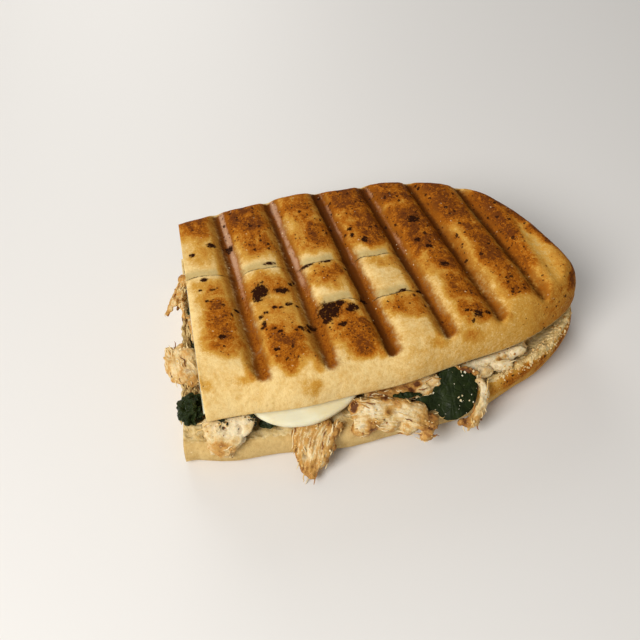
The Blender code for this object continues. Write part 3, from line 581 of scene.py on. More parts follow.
# Tones that go with the colours of the looks
TONES = {
    "score_step": (0.43, 0.33, 0.135),
    "groove_dark": (0.155, 0.034, 0.002),
    "groove_light": (0.35, 0.115, 0.009),
    # a painted sheen, the back light's reflection in the grooves
    "groove_sheen": (0.60, 0.37, 0.235),
    # painted shade on the groove walls that face away from the light
    "groove_wall": (0.095, 0.024, 0.002),
    "score_slit": (0.05, 0.024, 0.008),
    # pale glints, painted highlights
    "painted_glint": (0.86, 0.70, 0.42),
    "dark_speck": (0.07, 0.02, 0.006),
    "crumb_golden": (0.58, 0.385, 0.13),
    "crumb_brown": (0.47, 0.285, 0.075),
    # painted shade in the crumb's holes
    "crumb_hole_shade": (0.46, 0.30, 0.12),
    "crumb_depth": (0.36, 0.23, 0.085),
    "meat_shade": (0.60, 0.385, 0.135),
    # cream of pale meat and of painted highlights
    "meat_cream": (0.86, 0.76, 0.53),
    "meat_brown": (0.29, 0.115, 0.024),
    "meat_char": (0.09, 0.025, 0.008),
    # painted shade in the meat's cracks
    "meat_crack": (0.30, 0.15, 0.04),
    "cheese_butter": (0.76, 0.66, 0.40),
    "cheese_white": (0.86, 0.83, 0.64),
    "leaf_light": (0.019, 0.029, 0.007),
    # lighter green of painted highlights where the spinach is wet
    "leaf_wet": (0.10, 0.115, 0.035),
    "leaf_vein": (0.04, 0.055, 0.015),
}

# The camera, in the loaf's own frame
CAMERA_PLACE = (-70.3 * MM, -207.6 * MM, 269.2 * MM)
CAMERA_AZIMUTH, CAMERA_ELEVATION = -11.5, 50.0
CAMERA_LENS, CAMERA_SENSOR = 46.5, 36.0

# The studio: each light's place and size, where the lights point, their colour, and the sky's
KEY_LIGHT = ((-0.55, -0.42, 0.62), 0.5)
BACK_LIGHT = ((-0.1, 0.75, 0.4), 0.5)
LIGHT_AIM = (0.0, 0.0, 0.02)
LIGHT_TONE = (1.0, 0.975, 0.93)
SKY_TONE = (1.0, 0.985, 0.96, 1.0)
FLOOR_SIZE = 6.0
FLOOR_DROP = 0.05 * MM


def heel_shift():
    """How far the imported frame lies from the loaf's own frame, from where the heel's tip is."""
    heel = max((v.co for v in frame["nodes"]["bread_top"].data.vertices), key=lambda p: p.x)
    tip_x, tip_y = TOP_OUTLINE["tip"]
    return Vector((heel.x - tip_x, heel.y - tip_y, 0.0))


SHIFT = heel_shift()


def length_property(name, description, default, **limits):
    """A property that holds a length in metres."""
    values = {"name": name, "description": description, "default": default, **limits}
    return FloatProperty(subtype="DISTANCE", unit="LENGTH", **values)


def colour_property(name, description, default):
    """A property that holds a colour."""
    values = {"name": name, "description": description, "default": default}
    return FloatVectorProperty(subtype="COLOR", min=0.0, max=1.0, **values)


class CrustLook(bpy.types.PropertyGroup):
    """Shape and colours of the bread."""

    spacing: length_property(
        "Mesh spacing", "Distance between the points of the crust's mesh", 0.52 * MM, min=0.3 * MM
    )
    groove_depth: length_property(
        "Groove depth", "How deep the grill's ridges have pressed into the crust", 3.6 * MM
    )
    pillow: length_property(
        "Pillow", "How far each land falls from its middle to its sides", 1.0 * MM
    )
    score_depth: length_property(
        "Score depth", "How deep the two score lines across the lands are", 1.3 * MM
    )
    unevenness: length_property("Unevenness", "How far the crust swells and dips", 0.5 * MM)
    pale: colour_property(
        "Pale crust", "Colour of the crust where the grill hasn't touched it", (0.86, 0.635, 0.285)
    )
    golden: colour_property(
        "Golden crust", "Colour of the lightly baked crust", (0.62, 0.33, 0.055)
    )
    under: colour_property(
        "Pale underside", "Colour of the bottom bread's crust", (0.67, 0.475, 0.20)
    )
    under_dark: colour_property(
        "Golden underside",
        "Colour of the bottom bread's crust where it is baked more",
        (0.46, 0.275, 0.08),
    )
    toasted: colour_property(
        "Toasted crust", "Colour of the orange-brown patches", (0.40, 0.11, 0.003)
    )
    browned: colour_property(
        "Browned crust", "Colour at the middle of the darkest patches", (0.15, 0.04, 0.006)
    )
    burnt: colour_property("Burnt spots", "Colour of the charred spots", (0.028, 0.008, 0.003))
    crumb: colour_property("Crumb", "Colour of the bread's inside", (0.76, 0.585, 0.29))


class FillingLook(bpy.types.PropertyGroup):
    """Colours and detail of the filling."""

    voxel: length_property(
        "Mesh spacing", "Distance between the points of the meat's mesh", 0.42 * MM, min=0.2 * MM
    )
    strands: IntProperty(
        name="Strands",
        description="Loose fibres on each square centimetre of meat",
        default=9,
        min=0,
    )
    strand_thickness: length_property("Strand thickness", "Thickness of a loose fibre", 0.42 * MM)
    meat: colour_property("Meat", "Colour of the pale meat", (0.80, 0.64, 0.36))
    seared: colour_property("Seared meat", "Colour of the golden-brown edges", (0.53, 0.27, 0.06))
    cheese: colour_property("Cheese", "Colour of the melted cheese", (0.79, 0.75, 0.54))
    leaf: colour_property("Spinach", "Colour of the wilted spinach", (0.011, 0.0175, 0.005))


class StageLook(bpy.types.PropertyGroup):
    """The floor and the studio light."""

    floor: colour_property("Floor", "Colour of the plain floor", (0.80, 0.785, 0.77))
    key_power: FloatProperty(
        name="Key light",
        description="Power of the large soft light in front of the loaf, to the left",
        default=7.9,
        min=0.0,
        unit="POWER",
    )
    back_power: FloatProperty(
        name="Back light",
        description="Power of the weak light behind the loaf",
        default=2.0,
        min=0.0,
        unit="POWER",
    )
    sky: FloatProperty(
        name="Sky",
        description="Strength of the even light from all sides",
        default=0.27,
        min=0.0,
    )


def smooth_step(low, high, value):
    """0 up to low and 1 from high on, with a smooth slope between."""
    t = np.clip((value - low) / (high - low), 0.0, 1.0)
    return t * t * (3.0 - 2.0 * t)


def soft_min(a, b, blend):
    """The lower of two heights, with the corner between them rounded."""
    h = np.clip(0.5 + 0.5 * (b - a) / blend, 0.0, 1.0)
    return b * (1.0 - h) + a * h - blend * h * (1.0 - h)


def quarter_round(t, power):
    """Rises steeply from 0 at t = 0 and levels off at 1 where t = 1."""
    s = 1.0 - np.clip(t, 0.0, 1.0)
    return (1.0 - s**power) ** (1.0 / power)


def relief(points, size, seed):
    """Smooth noise from -1 to 1 at each point; size is how large its lumps are."""
    shift = Vector((seed * 7.3, seed * 3.1, seed * 5.7))
    return np.array([noise.noise(Vector(p) / size + shift) for p in points])


def pores(points, size, share, seed):
    """Depth of the round holes of the crumb; size is their spacing and share how large they are."""
    shift = Vector((seed * 3.7, seed * 1.9, seed * 4.3))
    depth = np.zeros(len(points))
    for i, point in enumerate(points):
        distances, centres = noise.voronoi(Vector(point) / size + shift)
        radius = share * (0.75 + 0.5 * noise.noise(centres[0] * 5.1))
        depth[i] = math.sqrt(max(radius * radius - distances[0] ** 2, 0.0)) * size
    return depth


def side(outline, which, x):
    """How far the long side stands from the tip's line at x."""
    reach, power, root, taper = outline[which]
    cut_x, tip_x = outline["cut_x"], outline["tip"][0]
    t = np.clip((x - cut_x) / (tip_x - cut_x), 0.0, 1.0)
    shape = (1.0 - t**power) ** (1.0 / root)
    narrowing = 1.0 - taper * (1.0 - t) ** TAPER_POWER
    sags = which == "front" and outline is TOP_OUTLINE
    sag = FRONT_SAG[0] * smooth_step(*SAG_END, x) * sags
    wobble = outline["wobble"] * np.sin(x / WOBBLE_LENGTH + WOBBLE_PHASE * reach) * (1.0 - t**4)
    return reach * narrowing * shape + wobble * np.sqrt(shape) + sag


def front_y(outline, x):
    return outline["tip"][1] - side(outline, "front", x)


def back_y(outline, x):
    return outline["tip"][1] + side(outline, "back", x)


def outline_wall(outline):
    """A wall that stands on the crust's outline, leaving out the cut."""
    cut_x, tip_x = outline["cut_x"], outline["tip"][0]
    t = np.sin(np.linspace(0.0, math.pi / 2.0, WALL_POSTS))
    xs = cut_x - WALL_START + (tip_x - cut_x + WALL_START) * t
    front = np.stack([xs, front_y(outline, xs)], 1)
    back = np.stack([xs, back_y(outline, xs)], 1)
    ring = np.concatenate([front, back[::-1]])
    foot = np.column_stack([ring, np.full(len(ring), -WALL_HEIGHT)])
    head = np.column_stack([ring, np.full(len(ring), WALL_HEIGHT)])
    i = np.arange(len(ring) - 1)
    faces = np.stack([i, i + 1, i + 1 + len(ring), i + len(ring)], 1)
    return BVHTree.FromPolygons(np.concatenate([foot, head]).tolist(), faces.tolist())


def inset(outline, x, y):
    """Distance of each point from the crust's outline, leaving out the cut."""
    wall = outline_wall(outline)
    flat = zip(np.ravel(x).tolist(), np.ravel(y).tolist())
    nearest = [wall.find_nearest((px, py, 0.0))[3] for px, py in flat]
    return np.array(nearest).reshape(np.shape(x))


def groove_lines():
    """(x at y = 0, lean) of each grill groove."""
    lines = []
    for i in range(GROOVE_COUNT):
        x = FIRST_GROOVE_X + GROOVE_PITCH * i - PITCH_LOSS * i * i
        lines.append((x, FIRST_GROOVE_LEAN + GROOVE_FAN * i))
    return lines


def groove_section(x, y):
    """1 on the floor of a grill groove, falling to 0 on the lands."""
    section = np.zeros(np.shape(x))
    for groove_x, lean in groove_lines():
        gap = np.abs(x - groove_x - lean * y) / GROOVE_HALF_WIDTH
        section = section + 1.0 / (1.0 + gap**3)
    return section


def heel_crease(x, y):
    """1 in the shallow crease before the heel, falling to 0 on both sides."""
    crease_x, lean, _ = HEEL_CREASE
    return 1.0 / (1.0 + (np.abs(x - crease_x - lean * y) / GROOVE_HALF_WIDTH) ** 3)


def score_parts(x, y):
    """The slit of the score lines, and the low step behind each, from 0 to 1."""
    slit, step = np.zeros(np.shape(x)), np.zeros(np.shape(x))
    for line_y, first_x, last_x in SCORES:
        waves = sum(high * np.sin(x / long + phase) for high, long, phase in SCORE_WAVES)
        here = smooth_step(first_x, first_x + SCORE_END, x)
        here = here * (1.0 - smooth_step(last_x - SCORE_END, last_x, x))
        gap = y - line_y - waves
        slit = slit + here * np.clip(1.0 - np.abs(gap) / SCORE_HALF_WIDTH, 0.0, 1.0)
        step = step + here * (1.0 - smooth_step(0.0, SCORE_STEP_REACH, gap)) * (gap > 0)
    return slit * (1.0 - 0.7 * groove_section(x, y)), step


def sink(x):
    """How far the upper layers have come down at x, as the loaf gets lower towards its heel."""
    return SINK * (x - TOP_OUTLINE["cut_x"])


def land_share(x, y):
    """The land that each point is on, 1 at the cut, and how far across it the point is."""
    walls = [np.full(np.shape(x), TOP_OUTLINE["cut_x"])]
    walls += [groove_x + lean * y for groove_x, lean in groove_lines()]
    walls.append(np.full(np.shape(x), TOP_OUTLINE["tip"][0]))
    land = np.ones(np.shape(x), int)
    for wall in walls[1:-1]:
        land = land + (x > wall)
    walls = np.array(walls)
    left = np.take_along_axis(walls, (land - 1)[None], 0)[0]
    right = np.take_along_axis(walls, land[None], 0)[0]
    return land, (x - left) / (right - left)


def soft_span(low, high, fade, value):
    """1 between low and high, falling to 0 over twice the fade round each of them."""
    rise = smooth_step(low - fade, low + fade, value)
    return rise * (1.0 - smooth_step(high - fade, high + fade, value))


def toasting(x, y):
    """How brown the crust is, from 0 to a little over 1."""
    flat = np.column_stack([x, y, np.zeros(len(x))])
    moved_x = x + 2.2 * MM * relief(flat, 6.0 * MM, 81)
    moved_y = y + 4.0 * MM * relief(flat, 7.0 * MM, 82)
    land, _ = land_share(x, y)
    _, share = land_share(moved_x, moved_y)
    moved_land, _ = land_share(moved_x, moved_y)
    share = np.where(moved_land > land, 1.0, np.where(moved_land < land, 0.0, share))
    brown = np.zeros(len(x))
    for number, low_y, high_y, low_share, high_share, strength in BROWNED:
        patch = strength * soft_span(low_y, high_y, LAND_FADE, moved_y / MM)
        patch = patch * soft_span(low_share, high_share, SHARE_FADE, share)
        brown = np.where(land == number, np.maximum(brown, patch), brown)
    along = flat * (1.0, 0.55, 1.0)
    uneven = 0.45 * relief(along, 3.6 * MM, 83) + 0.3 * relief(along, 1.8 * MM, 84)
    brown = brown * (1.0 + uneven * (1.0 - 0.5 * smooth_step(0.0, 40.0 * MM, x)))
    return brown


def baking_and_shade(x, y):
    """How golden the crust is off the lands, more so towards the heel, partly as painted shade
    there, and in faint spots.
    """
    gold = WARMTH_AND_SHADE * smooth_step(*WARMTH_X, x)
    gold = np.maximum(gold, HEEL_TONE_AND_SHADE * smooth_step(*HEEL_TONE_X, x))
    flat = np.column_stack([x, y, np.zeros(len(x))])
    for centre_x, centre_y, half_x, half_y, strength in FAINT:
        u, v = (x / MM - centre_x) / half_x, (y / MM - centre_y) / half_y
        faint = strength * smooth_step(1.5, 0.1, np.sqrt(u * u + v * v))
        gold = np.maximum(gold, faint * (1.0 + 0.5 * relief(flat, 2.5 * MM, 85)))
    return gold


def groove_band(x, y, offset, width, strengths):
    """A band along each grill groove; offset is how far right of its middle the band lies."""
    band = np.zeros(np.shape(x))
    for (groove_x, lean), strength in zip(groove_lines(), strengths):
        band = band + strength * np.exp(-(((x - groove_x - lean * y - offset) / width) ** 2))
    return band


def burning(x, y):
    """1 at the middle of each burnt spot, 0 outside it."""
    burn = np.zeros(np.shape(x))
    for centre_x, centre_y, half_x, half_y in BURNT:
        u = (x / MM - centre_x) / half_x
        v = (y / MM - centre_y) / half_y
        burn = np.maximum(burn, np.clip(1.6 - np.sqrt(u * u + v * v), 0.0, 1.0))
    return burn


def rim_lift(x, y):
    """How far the top bread's rim lies above its flat underside."""
    return TOP_RIM_LIFT - FRONT_SAG[1] * smooth_step(*SAG_END, x) * smooth_step(*SAG_START, y)


def top_upper(look, x, y):
    """The domed crust, flattened by the grill's lands and dented by its ridges."""
    depth_in = inset(TOP_OUTLINE, x, y)
    edge = TOP_FLOOR + rim_lift(x, y)
    dome = edge + DOME_RISE * quarter_round(depth_in / SHOULDER, SHOULDER_POWER)
    slit, step = score_parts(x, y)
    press = TOP_LAND - look.score_depth * slit - SCORE_STEP * step
    press = press - look.groove_depth * groove_section(x, y) - HEEL_CREASE[2] * heel_crease(x, y)
    _, share = land_share(x, y)
    press = press - look.pillow * np.abs(2.0 * share - 1.0) ** PILLOW_POWER
    crust = soft_min(dome, press, PRESS_BLEND)
    return np.where(depth_in < 1e-7, edge, np.maximum(crust, edge)) - sink(x)


def top_lower(x, y):
    """The top bread's flat underside, curled up round its rim."""
    depth_in = inset(TOP_OUTLINE, x, y)
    curl = rim_lift(x, y) * (1.0 - quarter_round(depth_in / RIM_ROUND, 2.0))
    return TOP_FLOOR + curl - sink(x)


def bottom_upper(x, y):
    """The split loaf's crumb face, with the lip of crust round the heel and the back."""
    depth_in = inset(BOTTOM_OUTLINE, x, y)
    lip = np.maximum(smooth_step(*LIP_HEEL, x), smooth_step(*LIP_BACK, y))
    rim = BOTTOM_RIM + lip * (TOP_FLOOR - LIP_CLEARANCE - sink(x) - BOTTOM_RIM)
    wall = BOTTOM_WIDEST + (rim - BOTTOM_WIDEST) * quarter_round(depth_in / LIP_INSET, 2.0)
    past = np.clip(depth_in - LIP_INSET, 0.0, None)
    inner = CRUMB_LEVEL + (rim - CRUMB_LEVEL) * np.exp(-((past / LIP_WIDTH) ** 2))
    return np.where(depth_in < LIP_INSET, wall, inner)


def bottom_lower(x, y):
    """The underside, with the lower plate's marks and a rounded bottom edge."""
    depth_in = inset(BOTTOM_OUTLINE, x, y)
    marks = np.zeros(np.shape(x))
    for groove_x, lean in groove_lines():
        gap = np.clip(np.abs(x - groove_x - lean * y) / UNDER_GROOVE_REACH, 0.0, 1.0)
        marks = marks + UNDER_GROOVE_DEPTH * np.cos(gap * math.pi / 2.0) ** 2
    marks = marks * smooth_step(*UNDER_GROOVE_EDGE, depth_in)
    return marks + BOTTOM_WIDEST * (1.0 - quarter_round(depth_in / RIM_ROUND, 2.0))


def eased(reach, count):
    """Steps in from an edge, close together at the edge."""
    return reach * (1.0 - np.cos(np.linspace(0.0, math.pi / 2.0, count)))


def bread_plan(outline, spacing):
    """Plan points of a bread half, close together along its edges and round its heel."""
    cut_x, (tip_x, _) = outline["cut_x"], outline["tip"]
    edge = eased(SHOULDER, int(1.5 * SHOULDER / spacing))
    stations = [*np.arange(cut_x, tip_x - SHOULDER - spacing / 2.0, spacing), *(tip_x - edge[::-1])]
    width = float(back_y(outline, cut_x) - front_y(outline, cut_x))
    across = int((width - 2.0 * SHOULDER) / spacing)
    plan = np.empty((len(stations), 2 * len(edge) + across - 1, 2))
    for i, station in enumerate(stations):
        y = np.zeros(plan.shape[1])
        lean = outline["cut_lean"] * (1.0 - smooth_step(cut_x, cut_x + LEAN_REACH, station))
        for _ in range(3):
            x = station + lean * y
            low, high = front_y(outline, x), back_y(outline, x)
            steps = edge * np.minimum(1.0, (high - low)[: len(edge)] / NARROW_WIDTH)
            first, last = low[0] + steps[-1], high[-1] - steps[-1]
            inner = np.linspace(first, last, across + 1)[1:-1]
            near, far = low[: len(edge)] + steps, high[-len(edge) :] - steps[::-1]
            y = np.concatenate([near, inner, far])
        plan[i] = np.stack([x, y], 1)
    return plan


def new_object(name, mesh, materials):
    for material in materials:
        mesh.materials.append(material)
    obj = bpy.data.objects.new(name, mesh)
    bpy.context.scene.collection.objects.link(obj)
    return obj


def points_of(mesh):
    points = np.empty(len(mesh.vertices) * 3)
    mesh.vertices.foreach_get("co", points)
    return points.reshape(-1, 3)


def normals_of(mesh):
    normals = np.empty(len(mesh.vertices) * 3)
    mesh.vertices.foreach_get("normal", normals)
    return normals.reshape(-1, 3)


def set_points(mesh, points):
    mesh.vertices.foreach_set("co", points.ravel())
    mesh.update()


def set_attribute(mesh, name, values):
    kind = "FLOAT_VECTOR" if values.ndim == 2 else "FLOAT"
    attribute = mesh.attributes.get(name) or mesh.attributes.new(name, kind, "POINT")
    field = "vector" if values.ndim == 2 else "value"
    attribute.data.foreach_set(field, values.astype(np.float32).ravel())


def put_in_frame(mesh):
    """Moves a mesh from the loaf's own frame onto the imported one."""
    mesh.transform(Matrix.Translation(SHIFT))
    mesh.update()


def grid_faces(rows, columns, first):
    """Quads of a grid of points, numbered from first, that face up."""
    index = first + np.arange(rows * columns).reshape(rows, columns)
    quads = [index[:-1, :-1], index[1:, :-1], index[1:, 1:], index[:-1, 1:]]
    return np.stack(quads, -1).reshape(-1, 4)


def block_faces(rows, columns, first, step):
    """Faces that look down on a grid: few inside it, but with every point of its border."""
    index = first + np.arange(rows * columns).reshape(rows, columns)
    row_marks = [*range(0, rows - step, step), rows - 1]
    column_marks = [*range(0, columns - step, step), columns - 1]
    faces = []
    for i, last_i in zip(row_marks[:-1], row_marks[1:]):
        for j, last_j in zip(column_marks[:-1], column_marks[1:]):
            near = index[i, j : last_j + 1 : 1 if i == 0 else last_j - j]
            far = index[last_i, j : last_j + 1 : 1 if last_i == rows - 1 else last_j - j]
            left = index[i : last_i + 1 : 1 if j == 0 else last_i - i, j]
            right = index[i : last_i + 1 : 1 if last_j == columns - 1 else last_i - i, last_j]
            faces.append([*near[:-1], *right[:-1], *far[:0:-1], *left[:0:-1]])
    return faces


def closed_loft(name, plan, lower, upper, step, cut_rows=0):
    """A closed mesh between two height grids that meet round their border.

    The faces below span step rows and columns each. With cut_rows, the grids stand apart at the
    first row instead, and a face of that many rows of quads closes the cut. Its points come
    last. Faces get material 0 above, 1 below and 2 there.
    """
    rows, columns = plan.shape[:2]
    over = np.concatenate([plan, upper[..., None]], -1).reshape(-1, 3)
    under = np.concatenate([plan, lower[..., None]], -1).reshape(-1, 3)
    faces = grid_faces(rows, columns, 0).tolist()
    slots = [0] * len(faces)
    faces += block_faces(rows, columns, len(over), step)
    slots += [1] * (len(faces) - len(slots))
    points = [over, under]
    if cut_rows:
        share = np.linspace(0.0, 1.0, cut_rows + 1)[:, None]
        heights = lower[0] * (1.0 - share) + upper[0] * share
        flat = np.broadcast_to(plan[0], (cut_rows + 1, columns, 2))
        points.append(np.concatenate([flat, heights[..., None]], -1).reshape(-1, 3))
        faces += grid_faces(cut_rows + 1, columns, 2 * len(over))[:, ::-1].tolist()
        slots += [2] * (len(faces) - len(slots))
    mesh = bpy.data.meshes.new(name)
    mesh.from_pydata(np.concatenate(points).tolist(), [], faces)
    mesh.polygons.foreach_set("material_index", slots)
    return mesh


def weld(mesh):
    """Joins points that lie on each other and drops the ones that no face uses."""
    bm = bmesh.new()
    bm.from_mesh(mesh)
    bmesh.ops.delete(bm, geom=[v for v in bm.verts if not v.link_faces], context="VERTS")
    bmesh.ops.remove_doubles(bm, verts=bm.verts, dist=WELD_GAP)
    bmesh.ops.dissolve_degenerate(bm, edges=bm.edges, dist=WELD_GAP / 2.0)
    bmesh.ops.triangulate(bm, faces=[f for f in bm.faces if len(f.verts) > 4])
    bmesh.ops.recalc_face_normals(bm, faces=bm.faces)
    bm.to_mesh(mesh)
    bm.free()
    mesh.shade_smooth()


class Paint:
    """A socket of a material's tree. Python's arithmetic on it adds the Math nodes."""

    def __init__(self, tree, socket=None):
        self.tree = tree
        self.socket = socket

    def node(self, kind, settings=None, output=0, **sockets):
        """Adds a node: its settings first, then the value or the link of each socket."""
        made = self.tree.nodes.new(kind if "Node" in kind else "ShaderNode" + kind)
        for setting, value in (settings or {}).items():
            setattr(made, setting, value)
        for key, value in sockets.items():
            found = [s for s in made.inputs if key in (s.identifier, s.name.replace(" ", "_"))]
            if isinstance(value, Paint):
                self.tree.links.new(value.socket, found[0])
            else:
                found[0].default_value = value
        return Paint(self.tree, made.outputs[output])

    def maths(self, operation, first, second=0.0, clamp=False):
        settings = {"operation": operation, "use_clamp": clamp}
        return self.node("Math", settings, Value=first, Value_001=second)

    def __add__(self, other):
        return self.maths("ADD", self, other)

    def __sub__(self, other):
        return self.maths("SUBTRACT", self, other)

    def __rsub__(self, other):
        return self.maths("SUBTRACT", other, self)

    def __mul__(self, other):
        return self.maths("MULTIPLY", self, other)

    def __truediv__(self, other):
        return self.maths("DIVIDE", self, other)

    def __pow__(self, other):
        return self.maths("POWER", self, other)

    __radd__ = __add__
    __rmul__ = __mul__

    def clamped(self):
        return self.maths("ADD", self, 0.0, clamp=True)

    def larger(self, other):
        return self.maths("MAXIMUM", self, other)

    def rise(self, low, high):
        """0 up to low and 1 from high on, with a smooth slope between."""
        settings = {"interpolation_type": "SMOOTHSTEP"}
        return self.node("MapRange", settings, Value=self, From_Min=low, From_Max=high)

    def mix(self, colour, other):
        """colour where this mask is 0 and other where it is 1."""
        settings = {"data_type": "RGBA"}
        ends = [c if isinstance(c, Paint) else (*c, 1.0) for c in (colour, other)]
        return self.node(
            "Mix", settings, output=2, Factor_Float=self, A_Color=ends[0], B_Color=ends[1]
        )


class Finish:
    """A material whose Principled shader is fed by Paint expressions."""

    def __init__(self, name):
        self.material = bpy.data.materials.new(name)
        self.material.use_nodes = True
        self.tree = self.material.node_tree
        self.shader = self.tree.nodes["Principled BSDF"]
        self.paint = Paint(self.tree)
        self.place = self.paint.node("TexCoord", output=3)

    def attribute(self, name, output=2):
        return self.paint.node("Attribute", {"attribute_name": name}, output=output)

    def stretched(self, scale, vector=None):
        """Coordinates scaled by a different amount along each axis."""
        settings = {"operation": "MULTIPLY"}
        source = self.place if vector is None else vector
        return self.paint.node("VectorMath", settings, Vector=source, Vector_001=scale)

    def noise(self, size, detail=3.0, roughness=0.55, vector=None):
        """Cloudy noise whose lumps are about size metres."""
        return self.paint.node(
            "TexNoise",
            Vector=self.place if vector is None else vector,
            Scale=1.0 / size,
            Detail=detail,
            Roughness=roughness,
        )

    def cells(self, size, output=0, feature="F1", vector=None):
        return self.paint.node(
            "TexVoronoi",
            {"feature": feature},
            output=output,
            Vector=self.place if vector is None else vector,
            Scale=1.0 / size,
        )

    def specks(self, size, radius, share, ragged):
        """Ragged dots, each in a cell of that size; only a share of the cells has one."""
        off = self.paint.node("TexNoise", output=1, Vector=self.place, Scale=2.6 / size, Detail=2.0)
        off = self.paint.node("VectorMath", {"operation": "SCALE"}, Vector=off, Scale=ragged)
        joined = {"Vector": self.place, "Vector_001": off}
        place = self.paint.node("VectorMath", {"operation": "ADD"}, **joined)
        distance = self.cells(size, vector=place)
        colour = self.cells(size, output=1, vector=place)
        pick = self.paint.node("SeparateColor", output=0, Color=colour)
        width = self.paint.node("SeparateColor", output=1, Color=colour)
        reach = radius * (0.5 + width)
        return (1.0 - (distance / reach).rise(0.75, 1.05)) * (share - pick).rise(0.0, 0.04)

    def bump(self, height, distance, normal=None):
        links = {"Height": height, "Distance": distance, "Strength": 1.0}
        if normal is not None:
            links["Normal"] = normal
        return self.paint.node("Bump", **links)

    def set(self, **sockets):
        for key, value in sockets.items():
            socket = self.shader.inputs[key.replace("_", " ")]
            if isinstance(value, Paint):
                self.tree.links.new(value.socket, socket)
            else:
                socket.default_value = value
        return self.material


def crust_finish(name, look, skin_pale, skin_dark):
    """Baked crust: pale skin that turns golden, orange, brown and black where it is toasted.

    The mesh brings how toasted and burnt each place is, and where its grooves and slits are.
    Along the grooves it paints shade on the left walls and a sheen towards the back, and it strews
    pale glints, more on that sheen, that are painted highlights.
    """
    finish = Finish(name)
    clouds = finish.noise(8.0 * MM, 3.0)
    mottle = finish.noise(2.6 * MM, 4.0, 0.62)
    grain = finish.noise(1.1 * MM, 3.0, 0.7)
    fine = finish.noise(0.55 * MM, 2.0, 0.6)
    streaks = finish.noise(1.0, 3.0, 0.6, finish.stretched((620.0, 900.0, 180.0)))
    names = ("toast", "groove", "wall", "slit", "burn", "back", "sheen", "step")
    toast, groove, wall, slit, burn, back, sheen, step = map(finish.attribute, names)
    uneven = (clouds - 0.5) * 0.5 + (mottle - 0.5) * 1.5 + (grain - 0.5) * 1.7 + (fine - 0.5) * 0.7
    heat = toast + uneven * (0.05 + toast**1.5 * 0.82)
    skin = (clouds * 0.3 + mottle * 0.22 + streaks * 0.28 + grain * 0.2).rise(0.4, 0.68)
    colour = (skin * 0.75).mix(skin_pale, skin_dark)
    colour = (step.rise(0.1, 0.8) * 0.65).mix(colour, TONES["score_step"])
    colour = heat.rise(0.06, 0.36).mix(colour, look.golden)
    colour = (heat.rise(0.2, 0.78) * 0.95).mix(colour, look.toasted)
    colour = heat.rise(0.62, 1.25).mix(colour, look.browned)
    loose = (mottle - 0.5) * 0.9 + (grain - 0.5) * 0.9
    floor = (groove + loose * 0.6 + (clouds - 0.5) * 0.6).rise(0.2, 0.95)
    grit = (grain * 0.5 + mottle * 0.3 + fine * 0.2).rise(0.36, 0.64)
    colour = floor.mix(colour, grit.mix(TONES["groove_dark"], TONES["groove_light"]))
    # A painted sheen on the right of the groove floors towards the back, where the back light is
    # reflected; it also gives a little coat and less roughness
    shine = (sheen * back + loose * 0.9 + (clouds - 0.5) * 1.2).rise(0.25, 0.95)
    shine = shine * sheen.rise(0.1, 0.5) * back
    colour = (shine * 0.7).mix(colour, TONES["groove_sheen"])
    # Painted shade on each groove's left wall, which faces away from the light; darker towards the
    # back
    wall_shade = (wall * (0.8 + back * 0.35) + loose * 0.9).rise(0.25, 1.05)
    colour = (wall_shade * 0.95).mix(colour, TONES["groove_wall"])
    torn = (slit + (grain - 0.5) * 1.5 + (mottle - 0.5) * 0.9).rise(0.1, 0.45)
    torn = torn * slit.rise(0.1, 0.4)
    colour = (torn * 0.85).mix(colour, TONES["score_slit"])
    hot = toast * 1.25 - 0.42 + wall_shade * 0.4 + burn * 0.9 + (clouds - 0.5) * 1.5
    hot = hot.rise(-0.08, 0.75)
    specks = finish.specks(1.25 * MM, 0.27, hot * 0.6, 0.9 * MM)
    dots = finish.specks(2.6 * MM, 0.25, hot * 0.46, 1.8 * MM)
    # Pale glints, painted highlights: a few all over and more on the painted sheen; they also add a
    # little coat
    glints = finish.specks(1.1 * MM, 0.22, 0.05 + sheen * back * 0.3, 0.7 * MM)
    ragged = finish.noise(1.3 * MM, 4.0, 0.75)
    char = (burn + (ragged - 0.5) * 2.8).rise(0.58, 0.82)
    scorch = (burn + (ragged - 0.5) * 1.2).rise(0.0, 0.8)
    colour = (scorch * 0.55).mix(colour, look.browned)
    colour = (glints * 0.55).mix(colour, TONES["painted_glint"])
    colour = (specks * 0.85).mix(colour, TONES["dark_speck"])
    colour = char.larger(dots * 0.9).mix(colour, look.burnt)
    rough = 0.6 + (grain - 0.5) * 0.4 - shine * 0.16 + char * 0.2
    height = grain * 0.45 + mottle * 0.35 + streaks * 0.12 + fine * 0.25 - specks * 0.15
    normal = finish.bump(height, 0.34 * MM)
    normal = finish.bump(char * ragged, 0.5 * MM, normal)
    finish.set(
        Base_Color=colour,
        Roughness=rough,
        Normal=normal,
        Specular_IOR_Level=0.02,
        Coat_Weight=(shine * 0.3 + glints * 0.2).clamped(),
        Coat_Roughness=0.3,
        Subsurface_Weight=0.04,
        Subsurface_Radius=(0.6, 0.35, 0.15),
        Subsurface_Scale=2.0 * MM,
    )
    return finish.material


